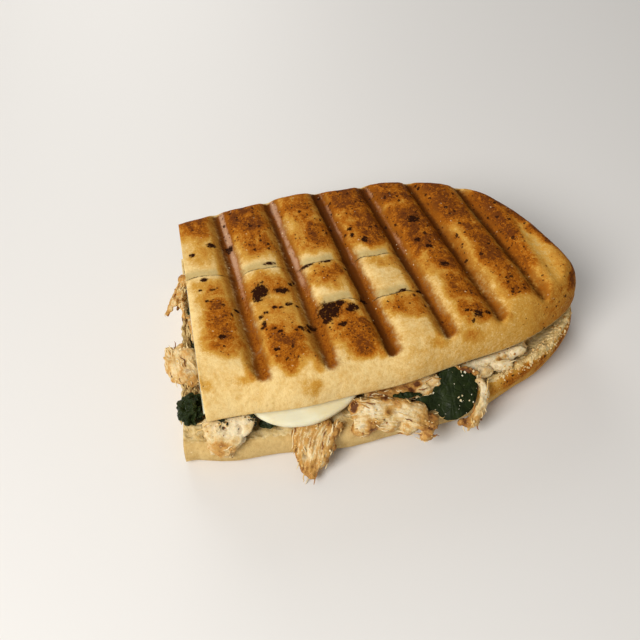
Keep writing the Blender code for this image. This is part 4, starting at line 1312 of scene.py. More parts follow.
def crumb_finish(name, look):
    """The bread's inside: cream, with painted shade in its small holes, darker in their depth."""
    finish = Finish(name)
    clouds = finish.noise(5.0 * MM, 3.0)
    mottle = finish.noise(1.9 * MM, 4.0, 0.65)
    grain = finish.noise(0.7 * MM, 4.0, 0.7)
    holes = finish.cells(1.6 * MM).rise(0.1, 0.55)
    deep = finish.attribute("deep")
    colour = (clouds * 0.5 + mottle * 0.5).rise(0.4, 0.62).mix(look.crumb, TONES["crumb_golden"])
    colour = (mottle.rise(0.56, 0.7) * 0.5).mix(colour, TONES["crumb_brown"])
    # Painted shade in the holes: in the shader's small cells, and by depth in the cut's pores
    colour = ((1.0 - holes) * 0.18).mix(colour, TONES["crumb_hole_shade"])
    colour = (deep.rise(0.1, 0.9) * 0.55).mix(colour, TONES["crumb_depth"])
    finish.set(
        Base_Color=colour,
        Roughness=0.8 + (grain - 0.5) * 0.2,
        Normal=finish.bump(holes * 0.3 + grain * 0.4 + mottle * 0.5, 0.5 * MM),
        Specular_IOR_Level=0.2,
        Subsurface_Weight=0.1,
        Subsurface_Radius=(0.8, 0.5, 0.25),
        Subsurface_Scale=2.5 * MM,
    )
    return finish.material


def meat_finish(name, look):
    """Cooked chicken: pale and crumbly, fibrous, seared golden and brown in spots and at edges."""
    finish = Finish(name)
    grain_place = finish.attribute("grain", output=1)
    fibres = finish.noise(1.0, 3.0, 0.6, finish.stretched((140.0, 900.0, 900.0), grain_place))
    clouds = finish.noise(3.4 * MM, 3.0, 0.6)
    mottle = finish.noise(1.5 * MM, 4.0, 0.65)
    fine = finish.noise(0.6 * MM, 3.0, 0.7)
    seared = finish.attribute("seared")
    stringy = finish.attribute("stringy")
    high = finish.attribute("high")
    strand = (fibres - 0.5) * stringy
    uneven = (clouds - 0.5) * 1.7 + (mottle - 0.5) * 1.2 + (fine - 0.5) * 0.7
    heat = seared + uneven - strand * 1.2 + high * 0.22
    light = (mottle * 0.6 + fine * 0.4 + strand).rise(0.36, 0.64)
    colour = light.mix(TONES["meat_shade"], look.meat)
    # Cream where the meat is least seared: partly pale meat, partly painted highlights, which the
    # negative marks put in
    colour = (heat.rise(0.1, -0.4) * 0.75).mix(colour, TONES["meat_cream"])
    colour = (heat.rise(0.16, 0.58) * 0.92).mix(colour, look.seared)
    colour = (heat.rise(0.6, 1.05) * 0.85).mix(colour, TONES["meat_brown"])
    colour = (heat.rise(1.05, 1.3) * 0.85).mix(colour, TONES["meat_char"])
    # Painted shade in the sunk cracks and pits of the meat
    crack_shade = (high * 1.2 + (mottle - 0.5) * 1.4).rise(-0.35, -0.75)
    colour = (crack_shade * 0.4).mix(colour, TONES["meat_crack"])
    height = fibres * stringy * 0.6 + fine * 0.3 + mottle * 0.6
    finish.set(
        Base_Color=colour,
        Roughness=0.55 + (fine - 0.5) * 0.4,
        Normal=finish.bump(height, 0.5 * MM),
        Specular_IOR_Level=0.15,
        Coat_Weight=mottle.rise(0.55, 0.7) * 0.15,
        Coat_Roughness=0.3,
        Subsurface_Weight=0.12,
        Subsurface_Radius=(1.0, 0.5, 0.25),
        Subsurface_Scale=2.0 * MM,
    )
    return finish.material


def cheese_finish(name, look):
    """Melted cheese: smooth and nearly white, a little wet."""
    finish = Finish(name)
    clouds = finish.noise(8.0 * MM, 2.0)
    streaks = finish.noise(1.0, 3.0, 0.5, finish.stretched((90.0, 420.0, 420.0)))
    colour = clouds.rise(0.35, 0.7).mix(look.cheese, TONES["cheese_butter"])
    colour = (streaks.rise(0.5, 0.75) * 0.4).mix(colour, TONES["cheese_white"])
    finish.set(
        Base_Color=colour,
        Roughness=0.34 + (streaks - 0.5) * 0.15,
        Normal=finish.bump(streaks * 0.6 + clouds * 0.4, 0.25 * MM),
        Coat_Weight=0.25,
        Coat_Roughness=0.22,
        Subsurface_Weight=0.3,
        Subsurface_Radius=(1.0, 0.85, 0.5),
        Subsurface_Scale=3.0 * MM,
    )
    return finish.material


def spinach_finish(name, look):
    """Wilted spinach: almost black green, wet, with fine veins and pleats, and painted highlights.
    """
    finish = Finish(name)
    clouds = finish.noise(3.0 * MM, 3.0)
    veins = finish.cells(2.8 * MM, feature="DISTANCE_TO_EDGE")
    fine = finish.noise(0.8 * MM, 3.0, 0.6)
    wet = finish.noise(1.2 * MM, 2.0)
    wetness = finish.attribute("wet")
    colour = clouds.rise(0.35, 0.7).mix(look.leaf, TONES["leaf_light"])
    # Painted highlights: lighter green spots where the spinach is wet, partly on the coat's noise
    wet_highlight = (fine * 0.5 + wet * 0.5).rise(0.56, 0.68) * wetness * 0.5
    colour = wet_highlight.mix(colour, TONES["leaf_wet"])
    colour = ((1.0 - veins.rise(0.0, 0.06)) * 0.16).mix(colour, TONES["leaf_vein"])
    height = veins.rise(0.0, 0.14) * 0.4 + fine * 0.4
    finish.set(
        Base_Color=colour,
        Roughness=0.5 + (fine - 0.5) * 0.3 - wetness * 0.12,
        Normal=finish.bump(height, 0.3 * MM),
        Coat_Weight=wet.rise(0.6, 0.7) * (0.25 + wetness * 0.75),
        Coat_Roughness=0.1,
        Specular_IOR_Level=0.09,
    )
    return finish.material


def bit_finish(name, first, *others):
    """Loose bits, each coloured by its own shade. The others are (from which shade, colour)."""
    finish = Finish(name)
    shade = finish.attribute("shade")
    fine = finish.noise(0.5 * MM, 2.0)
    colour = first
    for start, other in others:
        colour = (shade + (fine - 0.5) * 0.16).rise(start - 0.05, start + 0.05).mix(colour, other)
    finish.set(
        Base_Color=colour,
        Roughness=0.6 + (fine - 0.5) * 0.3,
        Normal=finish.bump(fine, 0.15 * MM),
        Specular_IOR_Level=0.3,
    )
    return finish.material


def material(name):
    """The material of that name, made when it is first asked for."""
    found = bpy.data.materials.get(name)
    if found:
        return found
    scene = bpy.context.scene
    crust, filling = scene.panini_crust, scene.panini_filling
    makers = {
        "crust_grilled": (crust_finish, crust, crust.pale, crust.golden),
        "crust_under": (crust_finish, crust, crust.under, crust.under_dark),
        "crumb": (crumb_finish, crust),
        "chicken_meat": (meat_finish, filling),
        "melted_cheese": (cheese_finish, filling),
        "wilted_spinach": (spinach_finish, filling),
        "meat_crumbs": (
            bit_finish,
            filling.meat,
            (0.42, (0.70, 0.46, 0.16)),
            (0.66, filling.seared),
            (0.86, (0.30, 0.10, 0.02)),
            (0.97, (0.06, 0.02, 0.008)),
        ),
        "bread_crumbs": (
            bit_finish,
            crust.crumb,
            (0.5, (0.70, 0.48, 0.2)),
            (0.85, (0.5, 0.25, 0.06)),
        ),
        "pale_specks": (bit_finish, (0.80, 0.74, 0.56), (0.6, (0.72, 0.60, 0.36))),
        "filling_shreds": (
            bit_finish,
            (0.44, 0.295, 0.11),
            (0.35, (0.60, 0.44, 0.19)),
            (0.7, (0.36, 0.24, 0.075)),
            (0.88, (0.22, 0.11, 0.03)),
        ),
        "herb_flecks": (
            bit_finish,
            filling.leaf,
            (0.5, (0.03, 0.045, 0.012)),
            (0.85, (0.07, 0.05, 0.015)),
        ),
    }
    maker, *given = makers[name]
    return maker(name, *given)


def new_tree(name, sizes, attribute):
    """A Geometry Nodes tree with points on its mesh, as thickly as an attribute asks for.

    Returns the tree, the sockets that bring its inputs, and the points.
    """
    tree = bpy.data.node_groups.new(name, "GeometryNodeTree")
    tree.is_modifier = True
    tree.interface.new_socket("Geometry", in_out="OUTPUT", socket_type="NodeSocketGeometry")
    kinds = {"Geometry": "Geometry", "Seed": "Int", "Material": "Material"}
    for label in ("Geometry", "Per Area", *sizes, "Seed", "Material"):
        kind = "NodeSocket" + kinds.get(label, "Float")
        tree.interface.new_socket(label, in_out="INPUT", socket_type=kind)
    source = tree.nodes.new("NodeGroupInput")
    given = {s.name: Paint(tree, s) for s in source.outputs if s.name}
    host = given["Geometry"]
    settings = {"data_type": "FLOAT"}
    spread = host.node("GeometryNodeInputNamedAttribute", settings, Name=attribute)
    points = host.node(
        "GeometryNodeDistributePointsOnFaces",
        {"distribute_method": "RANDOM"},
        Mesh=host,
        Density=given["Per Area"] * spread,
        Seed=given["Seed"],
    )
    return tree, given, points


def end_tree(tree, given, result):
    """Gives what a tree has made its material, and ends the tree."""
    look = given["Material"]
    result = result.node("GeometryNodeSetMaterial", Geometry=result, Material=look)
    out = tree.nodes.new("NodeGroupOutput")
    tree.links.new(result.socket, out.inputs[0])
    return tree


def random_number(paint, low, high, seed):
    values = {"Min_001": low, "Max_001": high, "Seed": seed}
    return paint.node("FunctionNodeRandomValue", {"data_type": "FLOAT"}, output=1, **values)


def random_vector(paint, low, high, seed):
    values = {"Min": (low,) * 3, "Max": (high,) * 3, "Seed": seed}
    return paint.node("FunctionNodeRandomValue", {"data_type": "FLOAT_VECTOR"}, **values)


def shaken(paint, geometry, size, distance):
    """Moves each point of a geometry by smooth noise."""
    cloud = paint.node("ShaderNodeTexNoise", output=1, Scale=1.0 / size, Detail=1.0)
    off = paint.node("VectorMath", {"operation": "SUBTRACT"}, Vector=cloud, Vector_001=(0.5,) * 3)
    off = paint.node("VectorMath", {"operation": "SCALE"}, Vector=off, Scale=distance)
    return paint.node("GeometryNodeSetPosition", Geometry=geometry, Offset=off)


def shaded(paint, instances, seed):
    """Gives each instance its own shade from 0 to 1, and makes them real."""
    stored = paint.node(
        "GeometryNodeStoreNamedAttribute",
        {"data_type": "FLOAT", "domain": "INSTANCE"},
        Geometry=instances,
        Name="shade",
        Value=random_number(paint, 0.0, 1.0, seed),
    )
    return paint.node("GeometryNodeRealizeInstances", Geometry=stored)


def crumb_tree():
    """Strews crumbs over a mesh, as many as its crumbs attribute asks for."""
    tree, given, points = new_tree("Crumbs", ("Smallest", "Largest"), "crumbs")
    host = given["Geometry"]
    lump = host.node("GeometryNodeMeshIcoSphere", Radius=1.0, Subdivisions=2)
    chance = random_number(host, 0.0, 1.0, 3)
    size = given["Smallest"] + (given["Largest"] - given["Smallest"]) * chance**2.5
    shape = random_vector(host, 0.6, 1.3, 4)
    scale = host.node("VectorMath", {"operation": "SCALE"}, Vector=shape, Scale=size)
    turn = random_vector(host, 0.0, FULL_TURN, 5)
    turn = host.node("FunctionNodeEulerToRotation", Euler=turn)
    crumbs = host.node(
        "GeometryNodeInstanceOnPoints", Points=points, Instance=lump, Rotation=turn, Scale=scale
    )
    crumbs = shaken(host, shaded(host, crumbs, 6), 0.4 * MM, 0.5 * MM)
    crumbs = host.node("GeometryNodeSetShadeSmooth", Geometry=crumbs, Shade_Smooth=False)
    return end_tree(tree, given, crumbs)


def strand_tree():
    """Lays loose fibres on a mesh along its run attribute, thinner towards their ends."""
    tree, given, points = new_tree("Strands", ("Shortest", "Longest", "Thickness"), "strands")
    host = given["Geometry"]
    run = host.node("GeometryNodeInputNamedAttribute", {"data_type": "FLOAT_VECTOR"}, Name="run")
    stray = random_vector(host, -0.25, 0.25, 9)
    run = run.node("VectorMath", {"operation": "ADD"}, Vector=run, Vector_001=stray)
    turn = host.node("FunctionNodeAlignRotationToVector", {"axis": "X"}, Vector=run)
    line = host.node("GeometryNodeCurvePrimitiveLine", Start=(-0.5, 0.0, 0.0), End=(0.5, 0.0, 0.0))
    line = host.node("GeometryNodeResampleCurve", Curve=line, Count=8)
    length = random_number(host, given["Shortest"], given["Longest"], 8)
    strands = host.node(
        "GeometryNodeInstanceOnPoints", Points=points, Instance=line, Rotation=turn, Scale=length
    )
    strands = shaken(host, shaded(host, strands, 7), 2.5 * MM, 2.2 * MM)
    along = host.node("GeometryNodeSplineParameter")
    taper = (1.0 - (along * 2.0 - 1.0) ** 2.0).larger(0.0) ** 0.5
    ring = host.node("GeometryNodeCurvePrimitiveCircle", Resolution=5, Radius=1.0)
    strands = host.node(
        "GeometryNodeCurveToMesh",
        Curve=strands,
        Profile_Curve=ring,
        Scale=given["Thickness"] * (taper + 0.12) * 0.5,
        Fill_Caps=True,
    )
    return end_tree(tree, given, strands)


def grown(host, tree, name, values):
    """What a tree makes on a mesh, as a plain mesh."""
    holder = new_object(name + "_host", host, [])
    modifier = holder.modifiers.new(tree.name, "NODES")
    modifier.node_group = tree
    for item in tree.interface.items_tree:
        if item.in_out == "INPUT" and item.name in values:
            modifier[item.identifier] = values[item.name]
    bpy.context.view_layer.update()
    graph = bpy.context.evaluated_depsgraph_get()
    mesh = bpy.data.meshes.new_from_object(holder.evaluated_get(graph))
    bpy.data.objects.remove(holder)
    mesh.name = name
    return mesh


def tree_of(name):
    """The tree of that name, made when it is first asked for."""
    found = bpy.data.node_groups.get(name)
    return found or {"Crumbs": crumb_tree, "Strands": strand_tree}[name]()


def add_bits(tree, host, name, look, values):
    """A piece of the bits that a tree makes on a mesh."""
    values = {**values, "Material": material(look)}
    obj = new_object(name, grown(host, tree_of(tree), name, values), [])
    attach(obj, "root")


def strew(host, name, per_area, smallest, largest, seed, look):
    """A piece of crumbs on a mesh that has a crumbs attribute."""
    values = {"Per Area": per_area, "Smallest": smallest, "Largest": largest, "Seed": seed}
    add_bits("Crumbs", host, name, look, values)


def lay_strands(host, name, per_area, shortest, longest, thickness, seed, look):
    """A piece of loose strands on a mesh that has strands and run attributes."""
    values = {"Per Area": per_area, "Shortest": shortest, "Longest": longest, "Seed": seed}
    add_bits("Strands", host, name, look, {**values, "Thickness": thickness})


def pinned(points, columns):
    """1 at the inner points of a grid and 0 on its border, as one column."""
    inner = np.zeros((len(points) // columns, columns))
    inner[1:-1, 1:-1] = 1.0
    return inner.ravel()


def cut_pores(plan, lower, upper, rows):
    """Points of the cut's face, in order, with the crumb's holes sunk into them."""
    columns = len(plan[0])
    share = np.linspace(0.0, 1.0, rows + 1)[:, None]
    heights = (lower[0] * (1.0 - share) + upper[0] * share).ravel()
    flat = np.tile(plan[0], (rows + 1, 1))
    points = np.column_stack([flat, heights])
    depth = sum(deep * pores(points, size, wide, seed) for size, wide, seed, deep in CUT_HOLES)
    depth = depth + 0.25 * MM * (relief(points, 5.0 * MM, 3) + 1.0)
    border = np.minimum(smooth_step(0.0, 0.12, share), smooth_step(0.0, 0.08, 1.0 - share))
    border = np.broadcast_to(border, (rows + 1, columns)).ravel()
    return points, depth * pinned(points, columns) * border


def build_bread(name, outline, lower_shape, upper_shape, spacing, cut_rows):
    """A bread half as a mesh in the loaf's own frame, with holes in the cut's face."""
    plan = bread_plan(outline, spacing)
    x, y = plan[..., 0], plan[..., 1]
    low, high = lower_shape(x, y), upper_shape(x, y)
    for edge in (np.s_[:, 0], np.s_[:, -1], np.s_[-1, :]):
        high[edge] = low[edge]
    mesh = closed_loft(name, plan, low, high, 3, cut_rows)
    points = points_of(mesh)
    face, depth = cut_pores(plan, low, high, cut_rows)
    points[-len(face) :, 0] += depth
    set_points(mesh, points)
    # How deep each pore of the cut is, for the painted shade in it
    deep = np.zeros(len(points))
    deep[-len(face) :] = depth / DEEPEST_HOLE
    set_attribute(mesh, "deep", deep)
    weld(mesh)
    return mesh


def swell(look, mesh, seeds, still):
    """Makes a crust uneven along its normals, but for the points that have to stay still."""
    points, normals = points_of(mesh), normals_of(mesh)
    rise = np.zeros(len(points))
    for (strength, size), seed in zip(SWELLS, seeds):
        rise = rise + strength * look.unevenness * relief(points, size, seed)
    set_points(mesh, points + normals * (rise * (1.0 - still))[:, None])


class PANINI_OT_top_bread(bpy.types.Operator):
    """The top half of the bread, domed, pressed and toasted by the grill"""

    bl_idname = "panini.top_bread"
    bl_label = "Top Bread"

    def execute(self, context):
        look = context.scene.panini_crust

        def upper(x, y):
            return top_upper(look, x, y)

        mesh = build_bread(
            "top_bread", TOP_OUTLINE, top_lower, upper, look.spacing, TOP_CUT_ROWS
        )
        points = points_of(mesh)
        x, y, z = points.T
        crust_side = z - top_lower(x, y) > 0.4 * MM
        on_cut = x < TOP_OUTLINE["cut_x"] + 2.5 * MM
        still = np.where(crust_side, 0.0, 1.0)
        from_cut = x - TOP_OUTLINE["cut_x"]
        still = np.maximum(still, 1.0 - smooth_step(0.0, CALM_STRIP, from_cut))
        depth_in = inset(TOP_OUTLINE, x, y)
        edge = smooth_step(0.5 * MM, 4.5 * MM, depth_in)
        low_dome = TOP_FLOOR + TOP_RIM_LIFT
        low_dome = low_dome + DOME_RISE * quarter_round(depth_in / SHOULDER, SHOULDER_POWER)
        pressed = low_dome - TOP_LAND + look.groove_depth
        reached = smooth_step(*MARKED, pressed)
        slit, step = score_parts(x, y)
        flat = np.column_stack([x, y, np.zeros(len(x))])
        uneven = relief(flat, 5.0 * MM, 86)
        narrow, wider = HEEL_RIM_WIDTH
        rim_width = narrow + wider * smooth_step(*HEEL_RIM_TURN, y) + 1.1 * MM * uneven
        in_rim = 1.0 - smooth_step(0.55, 1.15, depth_in / rim_width)
        heel_rim = smooth_step(*HEEL_RIM_X, x) * in_rim
        heel_rim = heel_rim * smooth_step(*HEEL_RIM_Z, z + 2.6 * MM * uneven)
        back_rim = smooth_step(*BACK_RIM_Y, y) * (1.0 - smooth_step(*BACK_RIM_WIDTH, depth_in))
        back_rim = back_rim * (0.14 + 0.4 * relief(points, 9.0 * MM, 88))
        toast = toasting(x, y) * edge * smooth_step(*PRESSED, pressed)
        toast = np.maximum(toast, baking_and_shade(x, y))
        crease = heel_crease(x + 1.4 * MM * uneven, y) ** 0.7
        crease = crease * smooth_step(1.0 * MM, 9.0 * MM, depth_in)
        step = np.maximum(step, crease * (0.72 + 0.3 * relief(flat, 2.4 * MM, 87)))
        toast = toast * (1.0 - 0.7 * step)
        browner = 1.15 + 0.6 * relief(points, 4.0 * MM, 85)
        toast = np.maximum(toast, browner * heel_rim * smooth_step(*HEEL_RIM_Y, y))
        toast = np.maximum(toast, back_rim)
        toast = np.maximum(toast, groove_band(x, y, *GROOVE_BANK) * reached)
        set_attribute(mesh, "toast", toast)
        set_attribute(mesh, "back", smooth_step(*BACK_Y, y))
        # The wall band is painted shade, and the sheen band a painted sheen
        bands = {"groove": GROOVE_FLOOR, "wall": GROOVE_SHADE, "sheen": GROOVE_SHEEN}
        for name, band in bands.items():
            set_attribute(mesh, name, groove_band(x, y, *band) * reached)
        set_attribute(mesh, "slit", slit * reached)
        set_attribute(mesh, "step", step * reached)
        set_attribute(mesh, "burn", burning(x, y) * (1.0 - on_cut))
        swell(look, mesh, (11, 12, 15), still)
        put_in_frame(mesh)
        looks = [material(name) for name in ("crust_grilled", "crumb", "crumb")]
        obj = new_object("top_bread", mesh, looks)
        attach(obj, "root")
        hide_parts("bread_top")
        return {"FINISHED"}


class PANINI_OT_bottom_bread(bpy.types.Operator):
    """The bottom half of the bread, pale at its front, with its lip round the heel"""

    bl_idname = "panini.bottom_bread"
    bl_label = "Bottom Bread"

    def execute(self, context):
        look = context.scene.panini_crust
        spacing = look.spacing * BOTTOM_COARSER
        mesh = build_bread(
            "bottom_bread", BOTTOM_OUTLINE, bottom_lower, bottom_upper, spacing, BOTTOM_CUT_ROWS
        )
        points = points_of(mesh)
        x, y, z = points.T
        depth_in = inset(BOTTOM_OUTLINE, x, y)
        inside = depth_in > LIP_INSET
        ripped = (z > RIPPED_Z) & (x > RIPPED_X) & (y < RIPPED_Y)
        torn = (inside | ripped) & (z > bottom_lower(x, y) + 0.5 * MM)
        rough = pores(points, 4.2 * MM, 0.6, 5) * 0.5 + 0.5 * MM * relief(points, 2.2 * MM, 6)
        inner = smooth_step(0.0, 2.0 * MM, depth_in - LIP_INSET)
        brim = smooth_step(*BRIM_RISE, z) * ripped
        rough = rough * torn * np.maximum(inner, brim)
        cut_x, cut_lean = BOTTOM_OUTLINE["cut_x"], BOTTOM_OUTLINE["cut_lean"]
        rough = rough * smooth_step(0.0, 2.0 * MM, x - cut_x - cut_lean * y)
        points[:, 2] -= rough
        tuck = HEEL_TUCK * smooth_step(*TUCK_X, x) * smooth_step(*TUCK_Y, y)
        tuck = tuck * (1.0 - smooth_step(0.0, TUCK_TOP, z))
        tuck = tuck * (1.0 - smooth_step(*TUCK_DEPTH, depth_in))
        points[:, 0] += TUCK_WAY[0] * tuck
        points[:, 1] += TUCK_WAY[1] * tuck
        set_points(mesh, points)
        heel = smooth_step(*BAKED_X, x) * (1.0 - 0.75 * smooth_step(*BAKED_Y, y))
        ridge = soft_span(*BAKED_RIDGE, z / MM) * (depth_in < BAKED_RIDGE_IN)
        toast = heel * (0.3 + ridge * (0.22 + 0.85 * relief(points, 7.0 * MM, 8)))
        toast = toast + 0.12 * (1.0 - smooth_step(*BAKED_FOOT, z))
        under = (z < UNDERSIDE_Z) * smooth_step(*UNDERSIDE_IN, depth_in)
        toast = np.maximum(toast, under * (0.6 + 0.5 * relief(points, 9.0 * MM, 7)))
        set_attribute(mesh, "toast", np.clip(toast, 0.0, 1.0))
        marks = np.clip(z / UNDER_GROOVE_DEPTH, 0.0, 1.0) * (z < 1.5 * MM)
        set_attribute(mesh, "groove", marks * smooth_step(4.0 * MM, 8.0 * MM, depth_in))
        for name in ("back", "wall", "sheen", "slit", "step", "burn"):
            set_attribute(mesh, name, np.zeros(len(points)))
        by_cut = x < cut_x + cut_lean * y + 1.0 * MM
        still = np.where(torn | (z < 0.3 * MM) | by_cut, 1.0, 0.0)
        swell(look, mesh, (31, 32, 35), still)
        self.split_slots(mesh)
        put_in_frame(mesh)
        obj = new_object("bottom_bread", mesh, [material("crust_under"), material("crumb")])
        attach(obj, "root")
        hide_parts("bread_bottom")
        host = mesh.copy()
        first_in, last_in = BRIM_CRUMBS_IN
        edge = ripped * (z > BRIM_CRUMBS_Z) * (depth_in > first_in) * (depth_in < last_in)
        set_attribute(host, "crumbs", edge * (1.0 - smooth_step(*BRIM_CRUMBS_Y, y)))
        strew(host, "torn_crumbs", 0.7e6, 0.2 * MM, 0.65 * MM, 60, "bread_crumbs")
        bpy.data.meshes.remove(host)
        return {"FINISHED"}

    @staticmethod
    def split_slots(mesh):
        """Crust outside and below, crumb on the split face and on the cut."""
        centres = np.empty(len(mesh.polygons) * 3)
        mesh.polygons.foreach_get("center", centres)
        centres = centres.reshape(-1, 3)
        slots = np.empty(len(mesh.polygons), int)
        mesh.polygons.foreach_get("material_index", slots)
        depth_in = inset(BOTTOM_OUTLINE, centres[:, 0], centres[:, 1])
        ragged = 0.5 * MM * relief(centres, 1.8 * MM, 21)
        torn = smooth_step(*CRUMB_BRIM_X, centres[:, 0])
        torn = torn * (1.0 - smooth_step(*CRUMB_BRIM_Y, centres[:, 1]))
        brim = CRUMB_BRIM_Z - CRUMB_BRIM_DROP * torn + 2.0 * ragged
        brim = brim + 1.2 * MM * relief(centres, 7.0 * MM, 22)
        high = (centres[:, 2] > brim) & (centres[:, 0] > 0.0)
        inside = (depth_in > LIP_INSET * 0.86 + ragged) | high
        crumb = (slots == 2) | ((slots == 0) & inside)
        mesh.polygons.foreach_set("material_index", crumb.astype(int))


def cheese_row(x):
    """Plan and middle height of the cheese at x, from its front edge to its back edge."""
    lip_from, lip_to = CHEESE_LIP
    reach = np.clip((x - lip_from) / (lip_to - lip_from), 0.0, 1.0)
    run = LIP_RUN * max(math.sin(math.pi * reach**0.9), 0.0) ** 0.66
    steps = sum(depth * smooth_step(start, end, x) for depth, start, end in CHEESE_STEPS)
    edge = CHEESE_FRONT + steps
    inner = edge + CHEESE_RIM
    back = back_y(BOTTOM_OUTLINE, x) - CHEESE_BACK
    over_lip = np.linspace(edge - run, inner, LIP_COLUMNS)
    y = np.concatenate([over_lip, np.linspace(inner, back, BACK_COLUMNS)[1:]])
    fall = LIP_FALL * np.clip((edge + 0.5 * MM - y) / LIP_RUN, 0.0, 1.0) ** 1.15
    middle = sum(CHEESE_LEVELS) / 2.0 - sink(x) - fall
    return np.stack([np.full(len(y), x), y], 1), middle, np.minimum(y - y[0], back - y)


class PANINI_OT_cheese(bpy.types.Operator):
    """The melted cheese, with its lip over the front edge"""

    bl_idname = "panini.cheese"
    bl_label = "Cheese"

    def execute(self, context):
        stations = [*np.arange(CHEESE_FROM, CHEESE_LIP[1] + 6.0 * MM, CHEESE_SPACING)]
        stations += [*np.linspace(CHEESE_LIP[1] + 6.6 * MM, CHEESE_TO, BACK_ROWS)]
        rows = [cheese_row(x) for x in stations]
        plan, middle = np.array([r[0] for r in rows]), np.array([r[1] for r in rows])
        ends = np.minimum(plan[..., 0] - CHEESE_FROM, CHEESE_TO - plan[..., 0])
        edge_gap = np.minimum(np.array([r[2] for r in rows]), ends)
        low, high = CHEESE_LEVELS
        half = (high - low) / 2.0 * quarter_round(edge_gap / CHEESE_EDGE, 2.0)
        flat = np.column_stack([plan.reshape(-1, 2), np.zeros(middle.size)])
        ripple = (0.35 * MM * relief(flat, 7.0 * MM, 41)).reshape(middle.shape)
        lip = smooth_step(CHEESE_FRONT + 2.0 * MM, CHEESE_FRONT - 2.0 * MM, plan[..., 1])
        middle = middle + ripple * lip
        mesh = closed_loft("melted_cheese", plan, middle - half, middle + half, 2)
        mesh.polygons.foreach_set("material_index", np.zeros(len(mesh.polygons), int))
        weld(mesh)
        put_in_frame(mesh)
        obj = new_object("melted_cheese", mesh, [material("melted_cheese")])
        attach(obj, "root")
        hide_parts("cheese")
        return {"FINISHED"}


def refined(node, name, voxel, lumps=(), thin=0.0):
    """A CAD node's shape, drawn in and with lumps joined to it, as a mesh of small even faces."""
    bm = bmesh.new()
    bm.from_mesh(frame["nodes"][node].data)
    bmesh.ops.remove_doubles(bm, verts=bm.verts, dist=FRAME_WELD_GAP)
    bm.normal_update()
    for vert in bm.verts:
        vert.co -= thin * vert.normal
    for x, y, z, *halves in lumps:
        place = Matrix.Translation(Vector((x, y, z)) * MM + SHIFT)
        size = Matrix.Diagonal((*[h * MM for h in halves], 1.0))
        bmesh.ops.create_icosphere(bm, subdivisions=3, radius=1.0, matrix=place @ size)
    rough = bpy.data.meshes.new(name + "_rough")
    bm.to_mesh(rough)
    bm.free()
    holder = new_object(name + "_rough", rough, [])
    remesh = holder.modifiers.new("Even faces", "REMESH")
    remesh.mode = "VOXEL"
    remesh.voxel_size = voxel
    bpy.context.view_layer.update()
    graph = bpy.context.evaluated_depsgraph_get()
    mesh = bpy.data.meshes.new_from_object(holder.evaluated_get(graph))
    bpy.data.objects.remove(holder)
    bpy.data.meshes.remove(rough)
    mesh.name = name
    bm = bmesh.new()
    bm.from_mesh(mesh)
    axes = {"use_axis_x": True, "use_axis_y": True, "use_axis_z": True}
    for _ in range(SMOOTHINGS):
        bmesh.ops.smooth_vert(bm, verts=bm.verts, factor=0.5, **axes)
    bm.to_mesh(mesh)
    bm.free()
    mesh.shade_smooth()
    return mesh


def shave(mesh, planes):
    """Trims a mesh on planes, each given as a point in mm and its outer direction."""
    points = points_of(mesh)
    uneven = 1.5 * MM * relief(points, 2.6 * MM, 89)
    for *place, out_x, out_y, out_z in planes:
        out = np.array((out_x, out_y, out_z))
        past = (points - SHIFT - np.array(place) * MM) @ out + uneven
        points -= 0.85 * np.clip(past, 0.0, None)[:, None] * out
    set_points(mesh, points)


def grain_places(points):
    """Each point's place along the meat's fibres and across them, and the fibres' direction."""
    middle = points.mean(0)
    _, _, axes = np.linalg.svd(points - middle, full_matrices=False)
    local = (points - middle) @ axes.T
    along = local[:, 0]
    across = local[:, 1] - np.polyval(np.polyfit(along, local[:, 1], 3), along)
    through = local[:, 2] - np.polyval(np.polyfit(along, local[:, 2], 3), along)
    return np.column_stack([along, across, through]), axes[0]


def tear(mesh, seed, stringy, depth):
    """Makes a piece of meat lumpy, crumbly and stringy, and returns its grain."""
    points, normals = points_of(mesh), normals_of(mesh)
    grain, run = grain_places(points)
    squeezed = grain * (0.14, 1.0, 1.0)
    ridges = 0.55 - 2.0 * np.abs(relief(squeezed, 2.0 * MM, seed))
    rise = 0.9 * relief(points, 3.6 * MM, seed + 1)
    rise = rise + 0.75 * relief(points, 1.7 * MM, seed + 2)
    rise = rise + 0.45 * relief(points, 0.85 * MM, seed + 3)
    rise = depth * (rise * (1.0 - 0.45 * stringy) + 0.8 * stringy * ridges)
    set_points(mesh, points + normals * rise[:, None])
    set_attribute(mesh, "high", np.clip(rise / depth, -1.0, 1.0))
    set_attribute(mesh, "grain", grain)
    set_attribute(mesh, "stringy", np.full(len(points), stringy))
    set_attribute(mesh, "run", np.tile(run, (len(points), 1)))
    return grain


